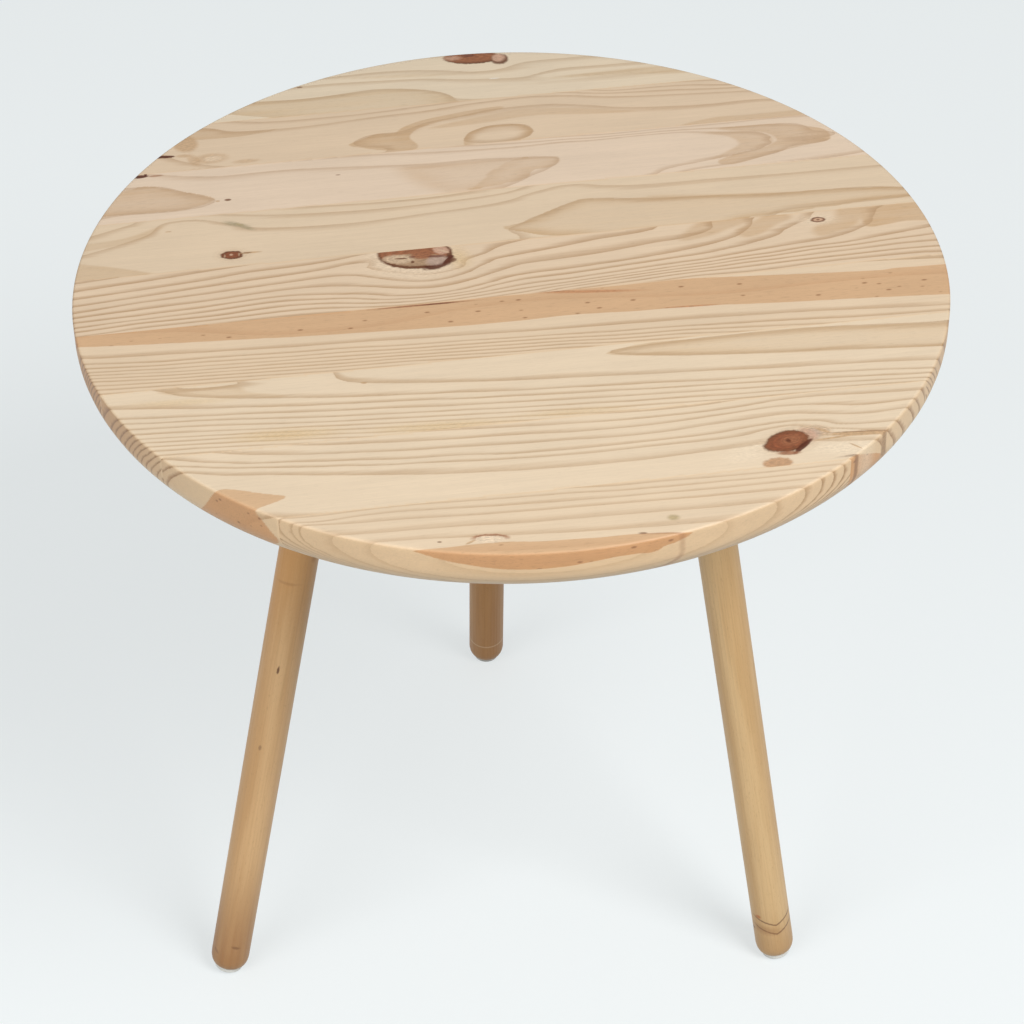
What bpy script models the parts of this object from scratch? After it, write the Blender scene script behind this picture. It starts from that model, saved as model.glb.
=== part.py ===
"""Round three-legged side table: a disc of nine glued pine staves on three splayed dowel legs.

Units are metres and +Z is up. The origin is on the floor under the middle of the top, and the
staves run along X. Each leg hangs on a hanger bolt under a pressed steel plate, and stands on a
nailed plastic glide.
"""

import math

import bmesh
import bpy
from mathutils import Matrix

# Overall sizes
TABLE_HEIGHT = 0.560
TOP_DIAMETER = 0.600
TOP_THICKNESS = 0.034
UPPER_EDGE_RADIUS = 0.0018
LOWER_EDGE_RADIUS = 0.019

# Glue lines across the top, front to back, as shares of the top's radius
GLUE_LINE_SHARES = (-0.795, -0.552, -0.308, -0.082, 0.139, 0.361, 0.566, 0.771)

# Legs: name, bearing round the top and splay from upright, both in degrees
LEGS = (("rear", 88.0, 10.7), ("left", 199.8, 12.4), ("right", 322.2, 9.5))
LEG_DIAMETER = 0.029
LEG_CIRCLE_RADIUS = 0.140
FOOT_ROUND_LENGTH = 0.009
FOOT_ROUND_DEPTH = 0.0038

# Mounting plates
PLATE_SIDE = 0.060
PLATE_CORNER_RADIUS = 0.006
PLATE_THICKNESS = 0.002
SEAT_MARGIN = 0.002
NUT_HEADROOM = 0.0015

# Fasteners
BOLT_DIAMETER = 0.008
BOLT_POINT_LENGTH = 0.005
BOLT_CHAMFER = 0.0008
BOLT_DEPTH_IN_LEG = 0.033
NUT_SIDES = 6
NUT_ACROSS_FLATS = 0.013
NUT_HEIGHT = 0.0065
SCREW_DIAMETER = 0.004
SCREW_LENGTH = 0.018
SCREW_POINT_LENGTH = 0.004
SCREW_HEAD_DIAMETER = 0.008
SCREW_HEAD_HEIGHT = 0.0024
SCREW_INSET = 0.008

# Glides
GLIDE_DIAMETER = 0.0212
GLIDE_THICKNESS = 0.004
GLIDE_EDGE_RADIUS = 0.0012
GLIDE_WEAR = 0.0005
NAIL_DIAMETER = 0.0024
NAIL_LENGTH = 0.016
NAIL_HEAD_DIAMETER = 0.006
NAIL_HEAD_HEIGHT = 0.001
NAIL_HEAD_RECESS = 0.0006

# Clearances
JOINT_GAP = 0.0003
HOLE_CLEARANCE = 0.0003
CUT_OVERRUN = 0.010
MERGE_DISTANCE = 0.00001

# Round pieces are drawn with these many flats
TOP_SEGMENTS = 120
LEG_SEGMENTS = 32
SMALL_SEGMENTS = 16
ARC_STEPS = 5
SMOOTH_ANGLE = math.radians(30)

# Worked-out sizes
TOP_RADIUS = TOP_DIAMETER / 2
UNDERSIDE = TABLE_HEIGHT - TOP_THICKNESS
LEG_RADIUS = LEG_DIAMETER / 2
FOOT_RADIUS = LEG_RADIUS - FOOT_ROUND_DEPTH
GLIDE_RADIUS = GLIDE_DIAMETER / 2
BOLT_RADIUS = BOLT_DIAMETER / 2
NUT_CORNER_RADIUS = NUT_ACROSS_FLATS / math.sqrt(3)
SEAT_RADIUS = LEG_RADIUS + SEAT_MARGIN
PLATE_UNDERSIDE = -(JOINT_GAP + PLATE_THICKNESS)
SCREW_OFFSET = PLATE_SIDE / 2 - SCREW_INSET
SCREW_SEAT = PLATE_UNDERSIDE - JOINT_GAP
SCREW_TIP = SCREW_SEAT + SCREW_LENGTH
SCREW_CORNERS = ((-1, -1), (1, -1), (1, 1), (-1, 1))


def clear_scene():
    for old in list(bpy.data.objects):
        bpy.data.objects.remove(old, do_unlink=True)


def add_collection(name):
    group = bpy.data.collections.new(name)
    bpy.context.scene.collection.children.link(group)
    return group


def make_material(name, colour, roughness, metallic=0.0):
    material = bpy.data.materials.new(name)
    material.use_nodes = True
    shader = material.node_tree.nodes["Principled BSDF"]
    shader.inputs["Base Color"].default_value = (*colour, 1.0)
    shader.inputs["Roughness"].default_value = roughness
    shader.inputs["Metallic"].default_value = metallic
    material.diffuse_color = (*colour, 1.0)
    return material


def add_part(name, mesh, material, parent=None):
    part = bpy.data.objects.new(name, mesh)
    PARTS.objects.link(part)
    part.data.materials.append(material)
    part.parent = parent
    return part


def add_cutter(name, mesh, parent=None):
    cutter = bpy.data.objects.new(name, mesh)
    CUTTERS.objects.link(cutter)
    cutter.hide_render = True
    cutter.display_type = "WIRE"
    cutter.parent = parent
    return cutter


def add_empty(name, location, rotation, parent=None):
    empty = bpy.data.objects.new(name, None)
    PARTS.objects.link(empty)
    empty.location = location
    empty.rotation_euler = rotation
    empty.parent = parent
    return empty


def box_mesh(name, low, high):
    """A box between two opposite corners."""
    mesh = bpy.data.meshes.new(name)
    shape = bmesh.new()
    bmesh.ops.create_cube(shape, size=1.0)
    size = [h - l for l, h in zip(low, high)]
    middle = [(h + l) / 2 for l, h in zip(low, high)]
    bmesh.ops.scale(shape, vec=size, verts=shape.verts)
    bmesh.ops.translate(shape, vec=middle, verts=shape.verts)
    shape.to_mesh(mesh)
    shape.free()
    return mesh


def rod_mesh(name, radius, low, high, segments):
    """An upright cylinder or prism between two heights."""
    mesh = bpy.data.meshes.new(name)
    shape = bmesh.new()
    bmesh.ops.create_cone(
        shape,
        cap_ends=True,
        segments=segments,
        radius1=radius,
        radius2=radius,
        depth=high - low,
        matrix=Matrix.Translation((0, 0, (low + high) / 2)),
    )
    shape.to_mesh(mesh)
    shape.free()
    return mesh


def profile_mesh(name, points, closed=False):
    """The outline of a turned piece: (radius, height) points down its outer side."""
    mesh = bpy.data.meshes.new(name)
    edges = [(i, i + 1) for i in range(len(points) - 1)]
    if closed:
        edges.append((len(points) - 1, 0))
    mesh.from_pydata([(radius, 0, height) for radius, height in points], edges, [])
    return mesh


def turn(piece, segments):
    """Turns the piece's profile about its own Z axis."""
    screw = piece.modifiers.new("turned", "SCREW")
    screw.axis = "Z"
    screw.angle = math.tau
    screw.steps = segments
    screw.render_steps = segments
    screw.use_merge_vertices = True
    screw.merge_threshold = MERGE_DISTANCE
    return piece


def repeat(piece, axis, distance):
    """Adds a second copy of the piece, a distance away along one axis."""
    array = piece.modifiers.new(f"pair_{axis}", "ARRAY")
    array.count = 2
    array.use_relative_offset = False
    array.use_constant_offset = True
    array.constant_offset_displace = [distance if axis == a else 0 for a in "xyz"]
    return piece


def combine(piece, other, operation):
    boolean = piece.modifiers.new(other.name, "BOOLEAN")
    boolean.object = other
    boolean.operation = operation
    boolean.solver = "EXACT"
    return piece


def rounded_edge(centre, radii):
    """Points of a quarter turn on a profile, from its outermost point down to its lowest."""
    points = []
    for step in range(ARC_STEPS + 1):
        angle = math.radians(90 * step / ARC_STEPS)
        out = centre[0] + radii[0] * math.cos(angle)
        height = centre[1] - radii[1] * math.sin(angle)
        points.append((out, height))
    return points


def settle(part):
    """Replaces a part's modifiers by their result and shades its round faces smooth."""
    view = bpy.context.evaluated_depsgraph_get()
    mesh = bpy.data.meshes.new_from_object(part.evaluated_get(view), depsgraph=view)
    part.modifiers.clear()
    part.data = mesh
    mesh.name = part.name
    mesh.shade_smooth()
    mesh.set_sharp_from_angle(angle=SMOOTH_ANGLE)


def make_top_blank():
    """The whole round top before it is cut into staves, with its two rounded edges."""
    mesh = rod_mesh("top_blank", TOP_RADIUS, UNDERSIDE, TABLE_HEIGHT, TOP_SEGMENTS)
    blank = add_cutter("top_blank", mesh)
    weights = mesh.attributes.new("bevel_weight_edge", "FLOAT", "EDGE")
    middle = (UNDERSIDE + TABLE_HEIGHT) / 2
    for edge in mesh.edges:
        heights = [mesh.vertices[v].co.z for v in edge.vertices]
        if min(heights) > middle:
            weights.data[edge.index].value = UPPER_EDGE_RADIUS / LOWER_EDGE_RADIUS
        elif max(heights) < middle:
            weights.data[edge.index].value = 1.0
    bevel = blank.modifiers.new("rounded_edges", "BEVEL")
    bevel.limit_method = "WEIGHT"
    bevel.width = LOWER_EDGE_RADIUS
    bevel.segments = ARC_STEPS
    return blank


def make_screw_holes(name, station, low, high):
    """A cutter of four holes, one at each corner of a plate, between two heights."""
    radius = SCREW_DIAMETER / 2 + HOLE_CLEARANCE
    holes = add_cutter(name, rod_mesh(name, radius, low, high, SMALL_SEGMENTS), station)
    holes.location = (-SCREW_OFFSET, -SCREW_OFFSET, 0)
    repeat(holes, "x", 2 * SCREW_OFFSET)
    repeat(holes, "y", 2 * SCREW_OFFSET)
    return holes


def make_staves(pilot_holes):
    """Nine staves, each the blank between two glue lines, numbered from the front."""
    blank = make_top_blank()
    lines = [share * TOP_RADIUS for share in GLUE_LINE_SHARES]
    fronts = [-TOP_RADIUS - CUT_OVERRUN] + [line + JOINT_GAP / 2 for line in lines]
    backs = [line - JOINT_GAP / 2 for line in lines] + [TOP_RADIUS + CUT_OVERRUN]
    reach = TOP_RADIUS + CUT_OVERRUN
    for number, (front, back) in enumerate(zip(fronts, backs), start=1):
        low = (-reach, front, UNDERSIDE - CUT_OVERRUN)
        high = (reach, back, TABLE_HEIGHT + CUT_OVERRUN)
        name = f"top_stave_{number}"
        stave = add_part(name, box_mesh(name, low, high), PINE)
        combine(stave, blank, "INTERSECT")
        for holes in pilot_holes:
            combine(stave, holes, "DIFFERENCE")


def seat_depth(splay):
    """Distance along the leg's axis from the underside to the face that the leg butts against."""
    nut_tilt = NUT_CORNER_RADIUS * math.tan(splay)
    return NUT_HEADROOM + nut_tilt + NUT_HEIGHT + JOINT_GAP + PLATE_THICKNESS


def foot_height(splay):
    """Height of the middle of the glide's lower face: its inner edge is worn flat on the floor."""
    flat_radius = GLIDE_RADIUS - GLIDE_EDGE_RADIUS
    return flat_radius * math.sin(splay) - GLIDE_WEAR


def glide_face(splay):
    """Place of the glide's lower face along the leg's axis, before the floor wears it."""
    return -(UNDERSIDE - foot_height(splay)) / math.cos(splay)


def make_plate(name, station, axis, splay):
    """A square steel plate with a pressed hollow boss, whose end is square to the leg."""
    half = PLATE_SIDE / 2
    mesh = box_mesh(name, (-half, -half, PLATE_UNDERSIDE), (half, half, -JOINT_GAP))
    plate = add_part(name, mesh, STEEL, station)
    weights = mesh.attributes.new("bevel_weight_edge", "FLOAT", "EDGE")
    for edge in mesh.edges:
        ends = [mesh.vertices[v].co for v in edge.vertices]
        upright = abs(ends[0].z - ends[1].z) > PLATE_THICKNESS / 2
        weights.data[edge.index].value = 1.0 if upright else 0.0
    bevel = plate.modifiers.new("rounded_corners", "BEVEL")
    bevel.limit_method = "WEIGHT"
    bevel.width = PLATE_CORNER_RADIUS
    bevel.segments = ARC_STEPS

    # The boss and its hollow run on past the plate, and are trimmed off level with its top
    seat = -seat_depth(splay)
    boss_mesh = rod_mesh("boss", SEAT_RADIUS, seat, CUT_OVERRUN, LEG_SEGMENTS)
    trim_mesh = box_mesh(
        "trim",
        (-PLATE_SIDE, -PLATE_SIDE, -JOINT_GAP),
        (PLATE_SIDE, PLATE_SIDE, CUT_OVERRUN + SEAT_RADIUS),
    )
    floor = seat + PLATE_THICKNESS
    hollow_radius = SEAT_RADIUS - PLATE_THICKNESS
    hollow_mesh = rod_mesh("hollow", hollow_radius, floor, 2 * CUT_OVERRUN, LEG_SEGMENTS)
    bolt_hole_mesh = rod_mesh(
        "bolt_hole",
        BOLT_RADIUS + HOLE_CLEARANCE,
        seat - CUT_OVERRUN,
        floor + NUT_HEIGHT / 2,
        SMALL_SEGMENTS,
    )
    screw_holes = make_screw_holes(
        name + "_screw_holes", station, PLATE_UNDERSIDE - CUT_OVERRUN, CUT_OVERRUN
    )
    combine(plate, add_cutter(name + "_boss", boss_mesh, axis), "UNION")
    combine(plate, add_cutter(name + "_trim", trim_mesh, station), "DIFFERENCE")
    combine(plate, add_cutter(name + "_hollow", hollow_mesh, axis), "DIFFERENCE")
    combine(plate, add_cutter(name + "_bolt_hole", bolt_hole_mesh, axis), "DIFFERENCE")
    combine(plate, screw_holes, "DIFFERENCE")


def make_screws(name, station):
    """Four pan-head wood screws, up through the plate's corners into the top."""
    head_radius = SCREW_HEAD_DIAMETER / 2
    shank_radius = SCREW_DIAMETER / 2
    crown = rounded_edge(
        (shank_radius, SCREW_SEAT), (head_radius - shank_radius, SCREW_HEAD_HEIGHT)
    )
    points = [
        (0, SCREW_TIP),
        (shank_radius, SCREW_TIP - SCREW_POINT_LENGTH),
        (shank_radius, SCREW_SEAT),
        *crown,
        (0, SCREW_SEAT - SCREW_HEAD_HEIGHT),
    ]
    for number, (out, across) in enumerate(SCREW_CORNERS, start=1):
        screw_name = f"{name}_{number}"
        screw = add_part(screw_name, profile_mesh(screw_name, points), ZINC, station)
        screw.location = (out * SCREW_OFFSET, across * SCREW_OFFSET, 0)
        turn(screw, SMALL_SEGMENTS)


def make_nut(name, axis, splay):
    """The captive hexagon nut inside the plate's boss."""
    low = -seat_depth(splay) + PLATE_THICKNESS + JOINT_GAP
    mesh = rod_mesh(name, NUT_CORNER_RADIUS, low, low + NUT_HEIGHT, NUT_SIDES)
    nut = add_part(name, mesh, ZINC, axis)
    bore_mesh = rod_mesh(
        "bore",
        BOLT_RADIUS + HOLE_CLEARANCE,
        low - CUT_OVERRUN,
        low + NUT_HEIGHT + CUT_OVERRUN,
        SMALL_SEGMENTS,
    )
    combine(nut, add_cutter(name + "_bore", bore_mesh, axis), "DIFFERENCE")


def make_hanger_bolt(name, axis, splay):
    """A headless bolt: machine thread in the nut, wood thread and point in the leg."""
    seat = -seat_depth(splay)
    high = seat + PLATE_THICKNESS + JOINT_GAP + NUT_HEIGHT
    low = seat - BOLT_DEPTH_IN_LEG
    points = [
        (0, high),
        (BOLT_RADIUS - BOLT_CHAMFER, high),
        (BOLT_RADIUS, high - BOLT_CHAMFER),
        (BOLT_RADIUS, low + BOLT_POINT_LENGTH),
        (0, low),
    ]
    turn(add_part(name, profile_mesh(name, points), ZINC, axis), SMALL_SEGMENTS)


def make_leg(name, axis, splay):
    """A plain dowel with a rounded foot, bored for the hanger bolt and the glide's nail."""
    top = -seat_depth(splay) - JOINT_GAP
    bolt_hole_radius = BOLT_RADIUS + HOLE_CLEARANCE
    bolt_hole_end = -seat_depth(splay) - BOLT_DEPTH_IN_LEG - HOLE_CLEARANCE
    foot = glide_face(splay) + GLIDE_THICKNESS + JOINT_GAP
    nail_hole_radius = NAIL_DIAMETER / 2 + HOLE_CLEARANCE
    nail_hole_end = glide_face(splay) + NAIL_HEAD_RECESS + NAIL_LENGTH + HOLE_CLEARANCE
    rounding = rounded_edge(
        (FOOT_RADIUS, foot + FOOT_ROUND_LENGTH), (FOOT_ROUND_DEPTH, FOOT_ROUND_LENGTH)
    )
    points = [
        (0, bolt_hole_end),
        (bolt_hole_radius, bolt_hole_end),
        (bolt_hole_radius, top),
        (LEG_RADIUS, top),
        *rounding,
        (nail_hole_radius, foot),
        (nail_hole_radius, nail_hole_end),
        (0, nail_hole_end),
    ]
    turn(add_part(name, profile_mesh(name, points), BEECH, axis), LEG_SEGMENTS)


def make_glide(name, axis, splay, ground):
    """A white plastic disc, nailed through its middle and worn flat where it meets the floor."""
    low = glide_face(splay)
    high = low + GLIDE_THICKNESS
    bore = NAIL_DIAMETER / 2 + HOLE_CLEARANCE
    recess_radius = NAIL_HEAD_DIAMETER / 2 + HOLE_CLEARANCE
    recess_end = low + NAIL_HEAD_RECESS + NAIL_HEAD_HEIGHT + JOINT_GAP
    edge = rounded_edge(
        (GLIDE_RADIUS - GLIDE_EDGE_RADIUS, low + GLIDE_EDGE_RADIUS),
        (GLIDE_EDGE_RADIUS, GLIDE_EDGE_RADIUS),
    )
    points = [
        (bore, high),
        (GLIDE_RADIUS, high),
        *edge,
        (recess_radius, low),
        (recess_radius, recess_end),
        (bore, recess_end),
    ]
    glide = add_part(name, profile_mesh(name, points, closed=True), NYLON, axis)
    turn(glide, LEG_SEGMENTS)
    combine(glide, ground, "DIFFERENCE")


def make_nail(name, axis, splay):
    """The steel nail that holds the glide, its head set up into the plastic."""
    low = glide_face(splay) + NAIL_HEAD_RECESS
    shoulder = low + NAIL_HEAD_HEIGHT
    radius = NAIL_DIAMETER / 2
    points = [
        (0, low + NAIL_LENGTH),
        (radius, low + NAIL_LENGTH - NAIL_DIAMETER),
        (radius, shoulder),
        (NAIL_HEAD_DIAMETER / 2, shoulder),
        (NAIL_HEAD_DIAMETER / 2, low),
        (0, low),
    ]
    turn(add_part(name, profile_mesh(name, points), ZINC, axis), SMALL_SEGMENTS)


def make_leg_station(name, bearing, splay, ground):
    """One leg with its plate, bolt, nut, screws, glide and nail. Returns its pilot holes' cutter."""
    place = (
        LEG_CIRCLE_RADIUS * math.cos(bearing),
        LEG_CIRCLE_RADIUS * math.sin(bearing),
        UNDERSIDE,
    )
    station = add_empty("station_" + name, place, (0, 0, bearing))
    axis = add_empty("axis_" + name, (0, 0, 0), (0, -splay, 0), station)
    make_plate("plate_" + name, station, axis, splay)
    make_screws("plate_screw_" + name, station)
    make_nut("nut_" + name, axis, splay)
    make_hanger_bolt("hanger_bolt_" + name, axis, splay)
    make_leg("leg_" + name, axis, splay)
    make_glide("glide_" + name, axis, splay, ground)
    make_nail("glide_nail_" + name, axis, splay)
    return make_screw_holes(
        "pilot_holes_" + name, station, -CUT_OVERRUN, SCREW_TIP + HOLE_CLEARANCE
    )


clear_scene()
PARTS = add_collection("round_side_table")
CUTTERS = add_collection("cutters")
PINE = make_material("pine", (0.78, 0.60, 0.38), 0.45)
BEECH = make_material("beech", (0.58, 0.37, 0.18), 0.45)
STEEL = make_material("zinc_plated_sheet", (0.62, 0.62, 0.60), 0.35, 1.0)
ZINC = make_material("zinc_plated_fastener", (0.66, 0.64, 0.58), 0.30, 1.0)
NYLON = make_material("white_nylon", (0.85, 0.85, 0.82), 0.40)

ground_mesh = box_mesh(
    "ground",
    (-TOP_RADIUS, -TOP_RADIUS, -CUT_OVERRUN),
    (TOP_RADIUS, TOP_RADIUS, 0),
)
ground_cutter = add_cutter("ground", ground_mesh)
all_pilot_holes = [
    make_leg_station(name, math.radians(bearing), math.radians(splay), ground_cutter)
    for name, bearing, splay in LEGS
]
make_staves(all_pilot_holes)

bpy.context.view_layer.update()
for part in PARTS.objects:
    if part.type == "MESH":
        settle(part)
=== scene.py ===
"""The looks of the round side table: a lacquered pine top of nine glued staves on three beech legs.

Lengths are metres. Places on the top are given as seen in the photograph, in millimetres to the
right and to the back of the middle. The staves themselves run along X, a few degrees off that.
"""

import math

import bmesh
import bpy
import numpy as np
from mathutils import Matrix, Vector


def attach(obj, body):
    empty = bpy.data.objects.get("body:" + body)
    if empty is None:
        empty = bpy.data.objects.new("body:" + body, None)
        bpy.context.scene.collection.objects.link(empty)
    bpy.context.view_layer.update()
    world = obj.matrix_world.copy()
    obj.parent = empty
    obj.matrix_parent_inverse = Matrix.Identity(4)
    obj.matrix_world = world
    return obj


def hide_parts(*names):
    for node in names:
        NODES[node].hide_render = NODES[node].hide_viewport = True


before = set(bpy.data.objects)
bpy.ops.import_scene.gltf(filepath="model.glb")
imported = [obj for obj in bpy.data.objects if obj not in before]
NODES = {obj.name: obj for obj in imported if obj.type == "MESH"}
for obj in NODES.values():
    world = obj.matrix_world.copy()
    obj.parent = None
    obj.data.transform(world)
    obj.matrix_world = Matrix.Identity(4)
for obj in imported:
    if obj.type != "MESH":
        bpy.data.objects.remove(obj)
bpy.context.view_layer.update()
MM = 0.001

# Camera, as fitted to the photograph
CAMERA_PLACE = (-0.24403, -1.69596, 1.73850)
CAMERA_BEARING = math.radians(-8.138)
CAMERA_DIP = math.radians(39.0196)
CAMERA_ROLL = math.radians(-0.8157)
CAMERA_LENS = 106.07
SENSOR_WIDTH = 36.0

# The table, as in the solids
TABLE_HEIGHT = 0.560
TOP_RADIUS = 0.300
TOP_THICKNESS = 0.034
UPPER_EDGE_RADIUS = 0.0018
LOWER_EDGE_RADIUS = 0.019
UNDERSIDE = TABLE_HEIGHT - TOP_THICKNESS
GLUE_LINE_SHARES = (-0.795, -0.552, -0.308, -0.082, 0.139, 0.361, 0.566, 0.771)
LEGS = (("rear", 88.0, 10.7), ("left", 199.8, 12.4), ("right", 322.2, 9.5))
LEG_RADIUS = 0.0145
LEG_CIRCLE_RADIUS = 0.140
GLIDE_FACE_RADIUS = 0.0094
GLIDE_WEAR = 0.0005
GLIDE_HEIGHT = 0.0043

# How finely the top is drawn, and the angle past which its edges stay sharp
TOP_CELLS = 210
UPPER_EDGE_STEPS = 4
SIDE_STEPS = 4
LOWER_EDGE_STEPS = 9
SHARP_ANGLE = math.radians(40)

# Lamps: name, place, size across, power; where they point; and the world's strength
LAMPS = (("key", (1.5, -2.0, 3.1), 1.8, 88), ("fill", (-2.2, -1.8, 2.2), 2.4, 42))
LAMP_TARGET = (0, 0, 0.4)
WORLD_STRENGTH = 0.34

# The turn from the photograph's side to the staves' own direction, and how the places read off
# the photograph spread and shift to lie on the fitted top
SEEN_TURN = CAMERA_BEARING
SEEN_SPREAD = (1.004, 1.0093)
SEEN_BACK = 2.31

# How far nearer the camera a point below the top's face seems to lie on it, for each unit of depth
DEPTH_SEEN = 1.22


def seen(x, y):
    """A place on the top, given in millimetres as seen in the photograph, in the table's frame."""
    x, y = x * SEEN_SPREAD[0], y * SEEN_SPREAD[1] + SEEN_BACK
    right = x * math.cos(SEEN_TURN) - y * math.sin(SEEN_TURN)
    back = x * math.sin(SEEN_TURN) + y * math.cos(SEEN_TURN)
    return (right * MM, back * MM)


def rgb(red, green, blue):
    """A colour given as the photograph shows it, 0 to 255, in linear light."""
    linear = []
    for value in (red, green, blue):
        value /= 255
        linear.append(value / 12.92 if value <= 0.04045 else ((value + 0.055) / 1.055) ** 2.4)
    return (*linear, 1.0)


def rows(table, stave):
    """A table's rows for one stave, in order, without the stave's number."""
    return [row for number, *row in table if number == stave]


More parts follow.
